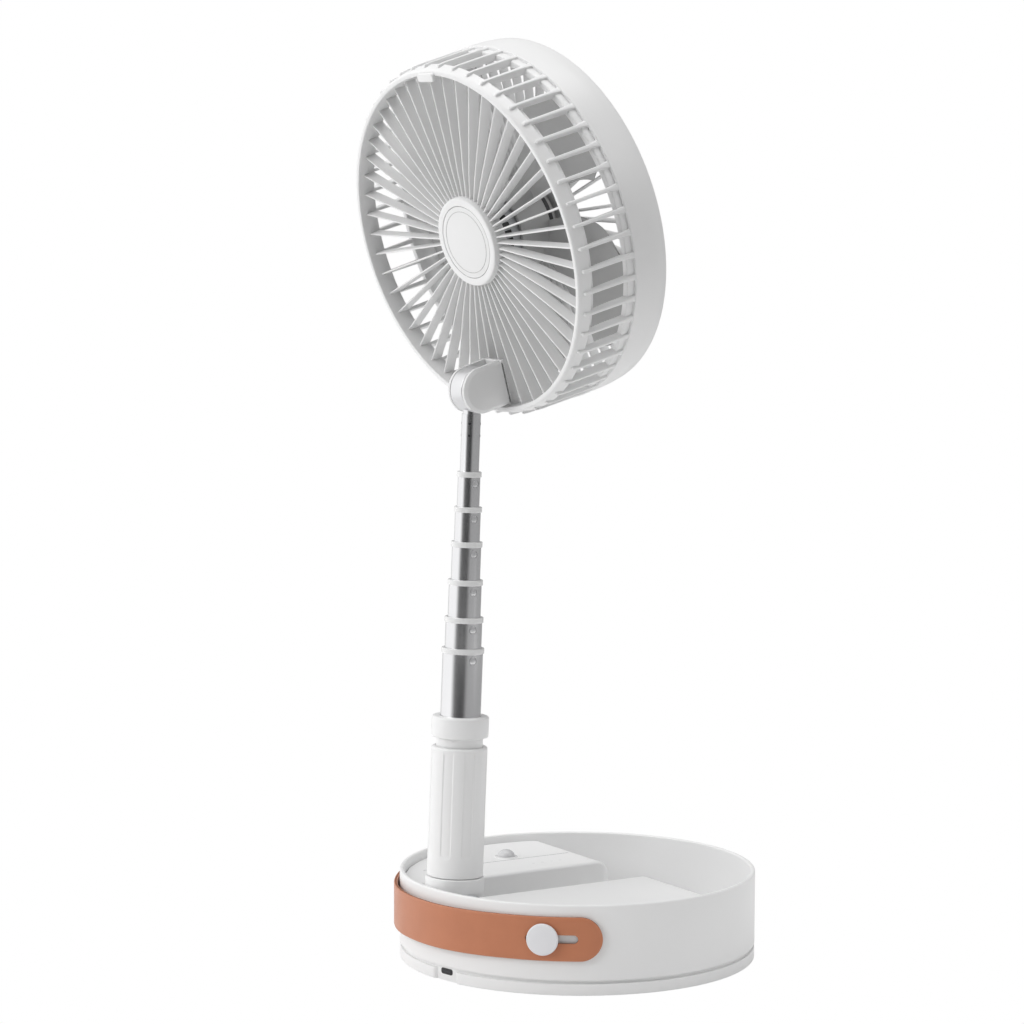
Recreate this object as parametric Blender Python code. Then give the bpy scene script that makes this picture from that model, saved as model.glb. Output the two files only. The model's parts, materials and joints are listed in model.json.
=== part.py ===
# Folding stand fan: a puck-shaped base, a telescopic pole that folds into it, and a tilting head.
#
# Every named size is in millimetres or degrees; new_object() writes the meshes in metres.
# World frame: origin under the middle of the base, +Z up, +X the way the head faces, +Y the button side.
# Pole pieces are built in the pole's frame (Z along the pole, 0 at the fold axis), head pieces in the
# head's frame (0 at the tilt axis, X the way the air goes, Z towards the middle of the head).

import math

import bmesh
import bpy
from mathutils import Matrix, Vector

MM = 0.001
GAP = 0.3                 # between pieces that meet
FINE_GAP = 0.15           # between the sliding tubes and their rings

# Base
BASE_RADIUS = 100.0
BASE_HEIGHT = 50.3
BASE_WALL = 2.6
BASE_SEGMENTS = 64
PLINTH_TOP = 7.1
GROOVE_HEIGHT = 1.6
GROOVE_DEPTH = 1.7
FOOT_PAD_THICKNESS = 1.4
FOOT_PAD_DROP = 0.8       # how far the pads stand below the bottom plate
FOOT_PAD_RADIUS = 8.0
FLOOR_TOP = 12.0
FLOOR_THICKNESS = 2.0
COVER_WALL = 2.0
PLATFORM_TOP = 46.0
PLATFORM_END_X = 39.0
SHOULDER_LENGTH = 9.0
SHOULDER_DROP = 7.5
PLATFORM_CORNER = 8.0
SCREW_RADIUS = 1.4
SCREW_HEAD_RADIUS = 2.8
POST_RADIUS = 3.6

# Power button, lights and electronics
BUTTON_X = -10.0
BUTTON_Y = 60.5
BUTTON_RADIUS = 5.8
BUTTON_HEIGHT = 4.3
BUTTON_FLANGE = 7.4
LIGHT_RADIUS = 1.0
LIGHT_PITCH = 6.0
LIGHT_Y = 37.0
BOARD_TOP = 34.6
BOARD_THICKNESS = 1.6
CELL_RADIUS = 9.2
CELL_LENGTH = 65.0
PORT_ANGLE = -168.7
PORT_WIDTH = 9.0
PORT_HEIGHT = 3.2
PORT_DEPTH = 7.5
PORT_Z = 6.0
NOTCH_WIDTH = 17.0

# Carry strap
STRAP_HEIGHT = 24.0
STRAP_Z = 32.0
STRAP_THICKNESS = 2.0
STRAP_END_ANGLE = 65.2    # where each end lies, counted from the back of the base
STRAP_STAND_OFF = 2.6     # how far it bows away from the wall at the handle
STUD_ANGLE = 47.1
SLOT_HALF_HEIGHT = 2.3
SLOT_START_ANGLE = 41.6
SLOT_END_ANGLE = 57.8
STUD_RADIUS = 8.7
STUD_SHANK = 2.0

# Pole
POLE_LEAN = 2.3
FOOT_RADIUS = 15.9
FOOT_TOP = 21.5
FOOT_TOP_RADIUS = 16.4
FOOT_SOCKET_START = 10.0
CHEEK_GAP = 0.7
CHEEK_THICKNESS = 4.0
PIN_RADIUS = 2.5
PIN_HEAD = 1.2
COLUMN_RADIUS = 12.8
COLUMN_BORE = 11.6
COLLAR_RADIUS = 15.75
COLLAR_START = 98.9
COLLAR_TOP = 110.5
COLLAR_LIP = 1.6
SLEEVE_RADIUS = 15.5
SLEEVE_TOP = 93.6
TUBE_RADII = (5.2, 6.15, 7.05, 8.0, 9.0, 10.05, 11.1)      # tube_1 at the head first
TUBE_WALL = 0.4
TUBE_TOPS = (276.3, 244.8, 225.6, 206.5, 185.6, 165.1, 148.1)
TUBE_SLIDES = (13.2, 15.9, 15.8, 17.6, 17.2, 13.7, 34.3)   # how far each one is pulled out
RING_HEIGHT = 3.0
RING_WALL = 0.6
RING_LIP = 0.8
TUBE_FOOT_LEVEL = 13.0    # where every tube's foot stands when the pole is pushed together
TUBE_SEGMENTS = 16

# Neck and head
NECK_LEVEL = 289.5
NECK_OFFSET = 1.5
NECK_TURN = 5.7
HEAD_TILT = 17.6
BARREL_RADIUS = 12.65
BARREL_HALF_WIDTH = 5.2
EAR_THICKNESS = 3.3
HEAD_CENTRE = 78.8
HEAD_RADIUS = 100.0
RIM_X = 13.4              # rear lip of the head
HEAD_DEPTH = 59.3
RIM_RADIUS = 95.5
SPOKE_X = 17.4
SPOKE_DEPTH = 7.0
SPOKE_THICKNESS = 1.5
SPOKE_COUNT = 50
SLAT_START = 7.0          # behind the lip
SLAT_END = 36.0
HUB_RADIUS = 25.0
HUB_STAND = 2.2           # how far the hub stands back from the spokes
BADGE_RADIUS = 20.0
BADGE_THICKNESS = 0.8
GRILLE_RING_INNER = 88.5
SHROUD_WALL = 2.0
FRONT_GRILLE_DEPTH = 6.0
LATCH_WIDTH = 9.0
LATCH_HEIGHT = 3.6
LATCH_THICKNESS = 1.8

# Motor and rotor, along the head's axis
MOTOR_RADIUS = 20.8
MOTOR_WALL = 1.6
MOTOR_LENGTH = 21.3
SHAFT_RADIUS = 1.5
MAGNET_RADIUS = 6.5
BLADE_COUNT = 5
BLADE_TIP = 90.0
BLADE_CHORD_ANGLE = 44.0
BLADE_SWEEP = 16.0
BLADE_RISE = 20.0
BLADE_THICKNESS = 1.4
ROTOR_HUB_RADIUS = 24.0
ROTOR_HUB_LENGTH = 14.0
ROTOR_HUB_WALL = 2.0
ROTOR_SKIRT = 11.2         # how far the hub's wall reaches back round the motor

# Worked out from the sizes above
WALL_INNER = BASE_RADIUS - BASE_WALL
COVER_RADIUS = WALL_INNER - 0.4
FLOOR_BOTTOM = FLOOR_TOP - FLOOR_THICKNESS
FOLD_X = -(WALL_INNER - FOOT_RADIUS - 0.5)
FOLD_Z = FLOOR_TOP + 2.0 + GAP + FOOT_RADIUS + 2.4
CHEEK_INNER = FOOT_RADIUS + CHEEK_GAP
CHEEK_OUTER = CHEEK_INNER + CHEEK_THICKNESS
CHANNEL_HALF_WIDTH = CHEEK_OUTER + GAP + PIN_HEAD + 0.4
RIM_FRONT = RIM_X + HEAD_DEPTH
SHROUD_START = RIM_X + SLAT_END
MOTOR_START = SPOKE_X + SPOKE_DEPTH + GAP
MOTOR_END = MOTOR_START + MOTOR_LENGTH
HUB_START = MOTOR_END + 1.2
HUB_END = HUB_START + ROTOR_HUB_LENGTH
FULL_TURN = 2 * math.pi


# ---------------------------------------------------------------- scene, frames and materials

for old in list(bpy.data.objects):
    bpy.data.objects.remove(old, do_unlink=True)


def new_frame(name, parent, place, axis="Y", angle=0.0):
    """An empty at `place` (mm) in its parent's frame, turned by `angle` degrees about one axis."""
    empty = bpy.data.objects.new(name, None)
    bpy.context.scene.collection.objects.link(empty)
    empty.parent = parent
    empty.matrix_local = Matrix.Translation(Vector(place) * MM) @ Matrix.Rotation(math.radians(angle), 4, axis)
    return empty


def new_material(name, colour, roughness, metallic=0.0):
    material = bpy.data.materials.new(name)
    material.use_nodes = True
    shader = material.node_tree.nodes["Principled BSDF"]
    shader.inputs["Base Color"].default_value = (*colour, 1.0)
    shader.inputs["Roughness"].default_value = roughness
    shader.inputs["Metallic"].default_value = metallic
    return material


POLE = new_frame("pole_frame", None, (FOLD_X, 0, FOLD_Z), "Y", POLE_LEAN)
TURN = new_frame("turn_frame", POLE, (0, 0, NECK_LEVEL), "Z", NECK_TURN)
HEAD = new_frame("head_frame", TURN, (NECK_OFFSET, 0, 0), "Y", -HEAD_TILT)
AXIS = new_frame("rotor_frame", HEAD, (0, 0, HEAD_CENTRE), "Y", 90.0)    # its Z is the head's axis

WHITE = new_material("white_plastic", (0.86, 0.86, 0.87), 0.38)
LIGHT_GREY = new_material("light_grey_plastic", (0.70, 0.70, 0.72), 0.40)
DARK = new_material("dark_plastic", (0.05, 0.05, 0.055), 0.45)
STEEL = new_material("steel", (0.72, 0.72, 0.74), 0.25, 1.0)
SATIN = new_material("satin_tube", (0.80, 0.80, 0.82), 0.28, 0.6)
LEATHER = new_material("leather", (0.42, 0.17, 0.06), 0.55)
BOARD = new_material("board_green", (0.03, 0.20, 0.09), 0.5)
CELL = new_material("cell_wrap", (0.10, 0.28, 0.55), 0.4)
COPPER = new_material("copper", (0.72, 0.36, 0.20), 0.35, 1.0)
RUBBER = new_material("rubber", (0.10, 0.10, 0.11), 0.8)


# ---------------------------------------------------------------- makers

def new_object(name, bm, frame, material, smooth=True):
    """Scale a bmesh from millimetres to metres and make it an object in a frame."""
    bmesh.ops.scale(bm, vec=(MM, MM, MM), verts=bm.verts)
    bmesh.ops.recalc_face_normals(bm, faces=bm.faces)
    mesh = bpy.data.meshes.new(name)
    bm.to_mesh(mesh)
    bm.free()
    if smooth:
        mesh.shade_smooth()
        mesh.set_sharp_from_angle(angle=math.radians(32))
    item = bpy.data.objects.new(name, mesh)
    bpy.context.scene.collection.objects.link(item)
    item.parent = frame
    if material is not None:
        mesh.materials.append(material)
    return item


def cut(item, cutter, operation="DIFFERENCE"):
    """Put a Boolean on an object; the cutter stays in the scene as a hidden guide."""
    cutter.hide_render = True
    cutter.display_type = "WIRE"
    step = item.modifiers.new(cutter.name, "BOOLEAN")
    step.operation = operation
    step.object = cutter


def turned(name, outline, steps, frame, material, place=(0, 0, 0), turn=None):
    """Solid of revolution about Z: (radius, height) points, closed on the axis or into a ring."""
    bm = bmesh.new()
    points = [bm.verts.new((radius, 0, height)) for radius, height in outline]
    edges = [bm.edges.new(pair) for pair in zip(points, points[1:])]
    if outline[0][0] > 0:
        edges.append(bm.edges.new((points[-1], points[0])))
    bmesh.ops.spin(bm, geom=points + edges, axis=(0, 0, 1), cent=(0, 0, 0), angle=FULL_TURN,
                   steps=steps, use_merge=True, use_duplicate=False)
    bmesh.ops.remove_doubles(bm, verts=bm.verts, dist=1e-4)
    if turn is not None:
        bmesh.ops.transform(bm, matrix=turn, verts=bm.verts)
    bmesh.ops.translate(bm, vec=place, verts=bm.verts)
    return new_object(name, bm, frame, material)


def rod(name, radius, start, end, steps, frame, material, place=(0, 0, 0), turn=None):
    """Plain cylinder from one height to another."""
    return turned(name, [(0, start), (radius, start), (radius, end), (0, end)], steps, frame, material,
                  place, turn)


def add_prism(bm, outline, low, high):
    """Add the solid between a closed (x, y) outline at two heights."""
    base = [bm.verts.new((x, y, low)) for x, y in outline]
    face = bm.faces.new(base)
    top = bmesh.ops.extrude_face_region(bm, geom=[face])
    moved = [v for v in top["geom"] if isinstance(v, bmesh.types.BMVert)]
    bmesh.ops.translate(bm, vec=(0, 0, high - low), verts=moved)


def prism(name, outline, low, high, frame, material, place=(0, 0, 0), turn=None, smooth=True):
    bm = bmesh.new()
    add_prism(bm, outline, low, high)
    if turn is not None:
        bmesh.ops.transform(bm, matrix=turn, verts=bm.verts)
    bmesh.ops.translate(bm, vec=place, verts=bm.verts)
    return new_object(name, bm, frame, material, smooth)


def arc(centre_x, centre_y, radius, start, end, steps):
    """Points of an arc, ends included, angles in degrees."""
    angles = [math.radians(start + (end - start) * i / steps) for i in range(steps + 1)]
    return [(centre_x + radius * math.cos(a), centre_y + radius * math.sin(a)) for a in angles]


def rounded_box(width, depth, corner, steps=4):
    """Outline of a rectangle with round corners, centred on zero."""
    x, y = width / 2 - corner, depth / 2 - corner
    return (arc(x, y, corner, 0, 90, steps) + arc(-x, y, corner, 90, 180, steps)
            + arc(-x, -y, corner, 180, 270, steps) + arc(x, -y, corner, 270, 360, steps))


def around(count, radius, start=0.0):
    """Evenly spaced places on a circle about the origin."""
    turns = [math.radians(start) + FULL_TURN * i / count for i in range(count)]
    return [(radius * math.cos(a), radius * math.sin(a)) for a in turns]


ACROSS = Matrix.Rotation(math.radians(90), 4, "X")      # turns a Z cylinder so that it runs along Y


# ---------------------------------------------------------------- base

SCREW_PLACES = around(4, BASE_RADIUS - 34.0, 45.0)
PAD_PLACES = around(4, BASE_RADIUS - 16.0, 20.0) + [(0.0, 0.0)]
BOARD_POSTS = ((-45.0, 36.0), (20.0, 36.0), (-10.0, 68.0))


def guide_group(name, makers):
    """Join several cutters into one hidden guide."""
    bm = bmesh.new()
    for part in makers:
        part.data.transform(Matrix.Scale(1 / MM, 4))
        bm.from_mesh(part.data)
        bpy.data.objects.remove(part, do_unlink=True)
    return new_object(name, bm, None, None)


def base_shell():
    """Outer wall and floor in one moulding, with screw posts below and board posts above."""
    low = PLINTH_TOP + GROOVE_HEIGHT + GAP
    outline = [(0, FLOOR_TOP), (WALL_INNER, FLOOR_TOP), (WALL_INNER, BASE_HEIGHT - 1.0), (WALL_INNER + 0.8, BASE_HEIGHT),
               (BASE_RADIUS - 0.8, BASE_HEIGHT), (BASE_RADIUS, BASE_HEIGHT - 1.0), (BASE_RADIUS, low),
               (WALL_INNER + 0.2, low), (WALL_INNER, FLOOR_BOTTOM), (0, FLOOR_BOTTOM)]
    shell = turned("base_shell", outline, BASE_SEGMENTS, None, WHITE)
    bottom = FOOT_PAD_DROP + 2.2 + GAP
    posts = [rod("post", POST_RADIUS, bottom, FLOOR_BOTTOM + 1.0, 16, None, None, (x, y, 0))
             for x, y in SCREW_PLACES]
    posts += [rod("post", 2.6, FLOOR_TOP - 1.0, BOARD_TOP - BOARD_THICKNESS - GAP, 12, None, None, (x, y, 0))
              for x, y in BOARD_POSTS]
    cut(shell, guide_group("base_posts", posts), "UNION")
    holes = [rod("hole", SCREW_RADIUS + 0.15, bottom - 1.0, FLOOR_BOTTOM + 0.6, 12, None, None, (x, y, 0))
             for x, y in SCREW_PLACES]
    holes += [rod("hole", STUD_SHANK + GAP, WALL_INNER - 2.0, BASE_RADIUS + 2.0, 12, None, None,
                  (0, 0, STRAP_Z), toward(180 + side * STUD_ANGLE)) for side in (-1, 1)]
    cut(shell, guide_group("base_holes", holes))


def toward(angle):
    """Turn a Z cylinder so that it points outwards, level, at an angle about the base's axis."""
    return Matrix.Rotation(math.radians(angle), 4, "Z") @ Matrix.Rotation(math.radians(90), 4, "Y")


def bottom_plate():
    """Plinth and floor plate, with a spigot that enters the shell and a notch at the charging port."""
    top = FOOT_PAD_DROP + 2.2
    spigot = WALL_INNER - GAP
    outline = [(0, top), (spigot - 2.4, top), (spigot - 2.4, FLOOR_BOTTOM - GAP),
               (spigot, FLOOR_BOTTOM - GAP), (spigot, PLINTH_TOP + GROOVE_HEIGHT),
               (BASE_RADIUS - GROOVE_DEPTH, PLINTH_TOP + GROOVE_HEIGHT), (BASE_RADIUS - GROOVE_DEPTH, PLINTH_TOP),
               (BASE_RADIUS - 0.6, PLINTH_TOP), (BASE_RADIUS - 0.1, PLINTH_TOP - 0.5),
               (BASE_RADIUS - 0.1, FOOT_PAD_DROP + 0.8), (BASE_RADIUS - 0.8, FOOT_PAD_DROP),
               (0, FOOT_PAD_DROP)]
    plate = turned("bottom_plate", outline, BASE_SEGMENTS, None, WHITE)
    cuts = [rod("hole", FOOT_PAD_RADIUS + GAP, 0, FOOT_PAD_THICKNESS + GAP, 20, None, None, (x, y, 0))
            for x, y in PAD_PLACES]
    cuts += [turned("hole", [(0, -1), (SCREW_HEAD_RADIUS + GAP, -1), (SCREW_HEAD_RADIUS + GAP, 1.8),
                             (SCREW_RADIUS + GAP, 1.8), (SCREW_RADIUS + GAP, top + 1), (0, top + 1)],
                    12, None, None, (x, y, 0)) for x, y in SCREW_PLACES]
    notch = rounded_box(PORT_HEIGHT + 2.0, NOTCH_WIDTH, 1.2)
    cuts.append(prism("notch", notch, BASE_RADIUS - 1.5, BASE_RADIUS + 3.0, None, None, (0, 0, PORT_Z),
                      toward(PORT_ANGLE)))
    mouth = rounded_box(PORT_HEIGHT + 2 * GAP, PORT_WIDTH + 2 * GAP, 1.6)
    cut(plate, guide_group("bottom_cuts", cuts))
    cut(plate, prism("port_mouth", mouth, BASE_RADIUS - 9.0, BASE_RADIUS + 1.0, None, None, (0, 0, PORT_Z),
                     toward(PORT_ANGLE)))


def platform_outline(side, inset):
    """Plan of a platform: straight along the channel, a round corner at its end, and the wall's arc."""
    radius = COVER_RADIUS - inset
    near = CHANNEL_HALF_WIDTH + inset
    end = PLATFORM_END_X - inset
    corner = PLATFORM_CORNER - inset
    step = 360.0 / BASE_SEGMENTS
    first = math.degrees(math.acos(end / radius))
    last = 180 - math.degrees(math.asin(near / radius))
    grid = [step * i for i in range(BASE_SEGMENTS) if first + 0.5 < step * i < last - 0.5]
    outline = arc(end - corner, near + corner, corner, -90, 0, 5)
    outline += [(radius * math.cos(math.radians(a)), radius * math.sin(math.radians(a)))
                for a in [first] + grid + [last]]
    return outline if side > 0 else [(x, -y) for x, y in reversed(outline)]


def platform(name, side, extra_cuts):
    """Cover over one half of the base, open below, with a sloping shoulder at its end."""
    cover = prism(name, platform_outline(side, 0), FLOOR_TOP + GAP, PLATFORM_TOP, None, WHITE)
    hollow = prism(name + "_hollow", platform_outline(side, COVER_WALL), FLOOR_TOP - 1.0,
                   PLATFORM_TOP - COVER_WALL, None, None)
    slope = shoulder(name + "_slope", 0.0, BASE_RADIUS)
    inner_slope = shoulder(name + "_inner_slope", COVER_WALL, BASE_RADIUS)
    cut(hollow, inner_slope)
    cut(cover, slope)
    cut(cover, hollow)
    if extra_cuts:
        cut(cover, guide_group(name + "_holes", extra_cuts))


def shoulder(name, inset, reach):
    """Guide above the rounded slope at the platforms' end, moved down by the wall for the inside."""
    end = PLATFORM_END_X - inset
    top = PLATFORM_TOP - inset
    start = PLATFORM_END_X - SHOULDER_LENGTH - inset * 0.4
    outline = [(start, top), (start + 2.0, top - 0.5), (end - 1.5, top - SHOULDER_DROP + 1.2),
               (end + 1.0, top - SHOULDER_DROP - 2.0), (end + 9.0, top - SHOULDER_DROP - 2.0),
               (end + 9.0, top + 9.0), (start, top + 9.0)]
    return prism(name, outline, -reach, reach, None, None, turn=ACROSS)


def electronics():
    """Control board with its switch and lights, the cells and the charging socket."""
    corners = rounded_box(80.0, 46.0, 3.0)
    prism("circuit_board", corners, BOARD_TOP - BOARD_THICKNESS, BOARD_TOP, None, BOARD, (-12.0, 51.0, 0))
    switch = rounded_box(6.0, 6.0, 0.6, 2)
    plunger_top = PLATFORM_TOP - COVER_WALL - GAP - 1.5 - 1.2
    body = prism("button_switch", switch, BOARD_TOP + GAP, plunger_top - 1.5, None, DARK, (BUTTON_X, BUTTON_Y, 0))
    cut(body, rod("switch_plunger", 1.8, plunger_top - 2.5, plunger_top, 12, None, None,
                  (BUTTON_X, BUTTON_Y, 0)), "UNION")
    middle = sum(x for x, _ in LIGHT_PLACES) / len(LIGHT_PLACES)
    strip = rounded_box(LIGHT_PITCH * len(LIGHT_PLACES), 4 * LIGHT_RADIUS, LIGHT_RADIUS, 2)
    lights = prism("indicator_lights", strip, BOARD_TOP + GAP, BOARD_TOP + 2.0, None, LIGHT_GREY, (middle, LIGHT_Y, 0))
    cut(lights, guide_group("light_guides", [rod("light", LIGHT_RADIUS, BOARD_TOP + 1.0, PLATFORM_TOP, 12, None, None,
                                                 (x, y, 0)) for x, y in LIGHT_PLACES]), "UNION")
    for row in range(3):
        y = -(CHANNEL_HALF_WIDTH + COVER_WALL + GAP + CELL_RADIUS + row * (2 * CELL_RADIUS + 2 * GAP))
        turned("battery_cell_%d" % (row + 1),
               [(0, 0), (CELL_RADIUS - 0.6, 0), (CELL_RADIUS, 0.6), (CELL_RADIUS, CELL_LENGTH - 0.6),
                (CELL_RADIUS - 0.6, CELL_LENGTH), (3.2, CELL_LENGTH), (3.2, CELL_LENGTH + 1.2),
                (0, CELL_LENGTH + 1.2)],
               14, None, CELL, (-CELL_LENGTH / 2 - 8.0, y, FLOOR_TOP + GAP + CELL_RADIUS),
               Matrix.Rotation(math.radians(90), 4, "Y"))
    start = BASE_RADIUS - 1.8 - PORT_DEPTH
    socket = prism("usb_socket", rounded_box(PORT_HEIGHT, PORT_WIDTH, 1.5), start, start + PORT_DEPTH, None, DARK,
                   (0, 0, PORT_Z), toward(PORT_ANGLE))
    cut(socket, prism("usb_mouth", rounded_box(PORT_HEIGHT - 0.7, PORT_WIDTH - 0.7, 1.2), start + 1.0,
                      start + PORT_DEPTH + 1.0, None, None, (0, 0, PORT_Z), toward(PORT_ANGLE)))
    cut(socket, prism("usb_tongue", rounded_box(0.7, PORT_WIDTH - 2.8, 0.3, 1), start + 0.5,
                      start + PORT_DEPTH - 1.0, None, None, (0, 0, PORT_Z), toward(PORT_ANGLE)), "UNION")


LIGHT_PLACES = [(LIGHT_PITCH * (i - 1), LIGHT_Y) for i in range(4)]


def power_button():
    """Domed cap whose flange is trapped under the platform's top."""
    low = PLATFORM_TOP - COVER_WALL - GAP - 1.5
    dome = [(BUTTON_RADIUS * math.cos(a), PLATFORM_TOP + 0.4 + (BUTTON_HEIGHT - 0.4) * math.sin(a))
            for a in [math.radians(22.5 * i) for i in range(4)]]
    outline = [(0, low), (BUTTON_FLANGE, low), (BUTTON_FLANGE, low + 1.5), (BUTTON_RADIUS, low + 1.5)]
    turned("power_button", outline + dome + [(0, PLATFORM_TOP + BUTTON_HEIGHT)], 20, None, LIGHT_GREY,
           (BUTTON_X, BUTTON_Y, 0))


def base_fasteners():
    for i, (x, y) in enumerate(PAD_PLACES, 1):
        turned("rubber_foot_%d" % i, [(0, 0), (FOOT_PAD_RADIUS - 0.4, 0), (FOOT_PAD_RADIUS, 0.4),
                                      (FOOT_PAD_RADIUS, FOOT_PAD_THICKNESS), (0, FOOT_PAD_THICKNESS)],
               16, None, RUBBER, (x, y, 0))
    head = 1.8 - GAP
    for i, (x, y) in enumerate(SCREW_PLACES, 1):
        turned("bottom_screw_%d" % i, [(0, FOOT_PAD_DROP + 0.1), (SCREW_HEAD_RADIUS, FOOT_PAD_DROP + 0.1),
                                       (SCREW_HEAD_RADIUS, head), (SCREW_RADIUS, head),
                                       (SCREW_RADIUS, FLOOR_BOTTOM), (0, FLOOR_BOTTOM)],
               12, None, STEEL, (x, y, 0))


def fold_bracket():
    """Two cheeks on a plate that carry the pole's fold pin."""
    low = FLOOR_TOP + GAP
    reach = math.sqrt(COVER_RADIUS ** 2 - CHEEK_OUTER ** 2) + FOLD_X - GAP
    cheek = [(-reach, low), (FOOT_RADIUS, low), (FOOT_RADIUS, low + 8.0)]
    cheek += [(x, FOLD_Z + z) for x, z in arc(0, 0, reach, 0, 180, 12)]
    cheek = [(FOLD_X + x, z) for x, z in cheek]
    bm = bmesh.new()
    add_prism(bm, cheek, -CHEEK_OUTER, CHEEK_OUTER)
    bmesh.ops.transform(bm, matrix=ACROSS, verts=bm.verts)
    bracket = new_object("hinge_bracket", bm, None, LIGHT_GREY)
    middle = [(FOLD_X - 2 * FOOT_RADIUS, low + 2.0), (FOLD_X + 2 * FOOT_RADIUS, low + 2.0),
              (FOLD_X + 2 * FOOT_RADIUS, BASE_HEIGHT + 20), (FOLD_X - 2 * FOOT_RADIUS, BASE_HEIGHT + 20)]
    cut(bracket, prism("bracket_middle", middle, -CHEEK_INNER, CHEEK_INNER, None, None, turn=ACROSS))
    cut(bracket, rod("bracket_bore", PIN_RADIUS + GAP, -2 * CHEEK_OUTER, 2 * CHEEK_OUTER, 20, None, None,
                     (FOLD_X, 0, FOLD_Z), ACROSS))
    end = CHEEK_OUTER + GAP + PIN_HEAD
    turned("fold_pin", [(0, -end), (PIN_RADIUS + 1.6, -end), (PIN_RADIUS + 1.6, -end + PIN_HEAD),
                        (PIN_RADIUS, -end + PIN_HEAD), (PIN_RADIUS, end - PIN_HEAD),
                        (PIN_RADIUS + 1.6, end - PIN_HEAD), (PIN_RADIUS + 1.6, end), (0, end)],
           16, None, STEEL, (FOLD_X, 0, FOLD_Z), ACROSS)


def strap_radius(angle):
    """Inner radius of the strap: against the wall by its studs, bowed out across the handle."""
    share = min(1.0, max(0.0, (STUD_ANGLE - 6.0 - abs(angle)) / (STUD_ANGLE - 14.0)))
    return BASE_RADIUS + GAP + STRAP_STAND_OFF * share * share * (3 - 2 * share)


def carry_strap():
    """Leather band round the back of the base, slotted at each end for its stud."""
    steps = 30
    bm = bmesh.new()
    rings = []
    for i in range(steps + 1):
        angle = STRAP_END_ANGLE * (2 * i / steps - 1)
        inner = strap_radius(angle)
        from_end = math.radians(STRAP_END_ANGLE - abs(angle)) * inner
        round_off = max(0.0, 1 - from_end / (STRAP_HEIGHT / 2))
        half = STRAP_HEIGHT / 2 * max(0.25, math.sqrt(1 - round_off ** 2))
        turn = math.radians(180 + angle)
        ring = []
        for radius, level in ((inner, -half), (inner + STRAP_THICKNESS, -half),
                              (inner + STRAP_THICKNESS, half), (inner, half)):
            ring.append(bm.verts.new((radius * math.cos(turn), radius * math.sin(turn), STRAP_Z + level)))
        rings.append(ring)
    for ring, following in zip(rings, rings[1:]):
        for j in range(4):
            bm.faces.new((ring[j], ring[(j + 1) % 4], following[(j + 1) % 4], following[j]))
    bm.faces.new(rings[0])
    bm.faces.new(rings[-1])
    strap = new_object("strap", bm, None, LEATHER)
    slots = []
    for side in (-1, 1):
        start, end = SLOT_START_ANGLE, SLOT_END_ANGLE
        bm = bmesh.new()
        profile = []
        for i in range(7):
            angle = math.radians(180 + side * (start + (end - start) * i / 6))
            profile.append((angle, -SLOT_HALF_HEIGHT if 0 < i < 6 else -SLOT_HALF_HEIGHT * 0.5))
        loops = []
        for angle, low in profile:
            loop = []
            for radius, level in ((BASE_RADIUS - 2, low), (BASE_RADIUS + 8, low), (BASE_RADIUS + 8, -low),
                                  (BASE_RADIUS - 2, -low)):
                loop.append(bm.verts.new((radius * math.cos(angle), radius * math.sin(angle), STRAP_Z + level)))
            loops.append(loop)
        for loop, following in zip(loops, loops[1:]):
            for j in range(4):
                bm.faces.new((loop[j], loop[(j + 1) % 4], following[(j + 1) % 4], following[j]))
        bm.faces.new(loops[0])
        bm.faces.new(loops[-1])
        slots.append(new_object("slot", bm, None, None))
    cut(strap, guide_group("strap_slots", slots))
    inner = strap_radius(STUD_ANGLE) + STRAP_THICKNESS + GAP
    for name, side in (("stud_front", 1), ("stud_back", -1)):
        dome = [(STUD_RADIUS * math.cos(a), inner + 0.9 + 2.0 * math.sin(a))
                for a in [math.radians(22.5 * i) for i in range(4)]]
        outline = [(0, WALL_INNER + 0.1), (STUD_SHANK, WALL_INNER + 0.1), (STUD_SHANK, inner + 0.4),
                   (STUD_RADIUS - 0.4, inner + 0.4)]
        turned(name, outline + dome + [(0, inner + 2.9)], 20, None, WHITE, (0, 0, STRAP_Z),
               toward(180 + side * STUD_ANGLE))


# ---------------------------------------------------------------- pole

def pole_foot():
    """Round knuckle on the fold pin, with a socket that holds the column."""
    ball = [(FOOT_RADIUS * math.sin(a), -FOOT_RADIUS * math.cos(a))
            for a in [math.radians(18 * i) for i in range(6)]]
    ball[0] = (0, -FOOT_RADIUS)
    outline = ball + [(FOOT_RADIUS, 11.8), (FOOT_TOP_RADIUS, 13.6), (FOOT_TOP_RADIUS, FOOT_TOP - 0.6),
                      (FOOT_TOP_RADIUS - 0.6, FOOT_TOP), (COLUMN_RADIUS + GAP, FOOT_TOP),
                      (COLUMN_RADIUS + GAP, FOOT_SOCKET_START), (0, FOOT_SOCKET_START)]
    foot = turned("pole_foot", outline, 24, POLE, WHITE)
    cut(foot, rod("foot_bore", PIN_RADIUS + 0.2, -2 * FOOT_RADIUS, 2 * FOOT_RADIUS, 20, POLE, None, turn=ACROSS))


def pole_column():
    """Outer tube with the collar that the tubes come out of."""
    lip = TUBE_RADII[-1] + FINE_GAP
    outline = [(COLUMN_BORE, FOOT_SOCKET_START + GAP), (COLUMN_RADIUS, FOOT_SOCKET_START + GAP),
               (COLUMN_RADIUS, COLLAR_START), (COLLAR_RADIUS - 0.4, COLLAR_START),
               (COLLAR_RADIUS, COLLAR_START + 0.4), (COLLAR_RADIUS, COLLAR_TOP - 0.5),
               (COLLAR_RADIUS - 0.5, COLLAR_TOP), (lip, COLLAR_TOP), (lip, COLLAR_TOP - COLLAR_LIP),
               (COLUMN_BORE, COLLAR_TOP - COLLAR_LIP)]
    turned("pole_column", outline, TUBE_SEGMENTS, POLE, WHITE)


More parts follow.
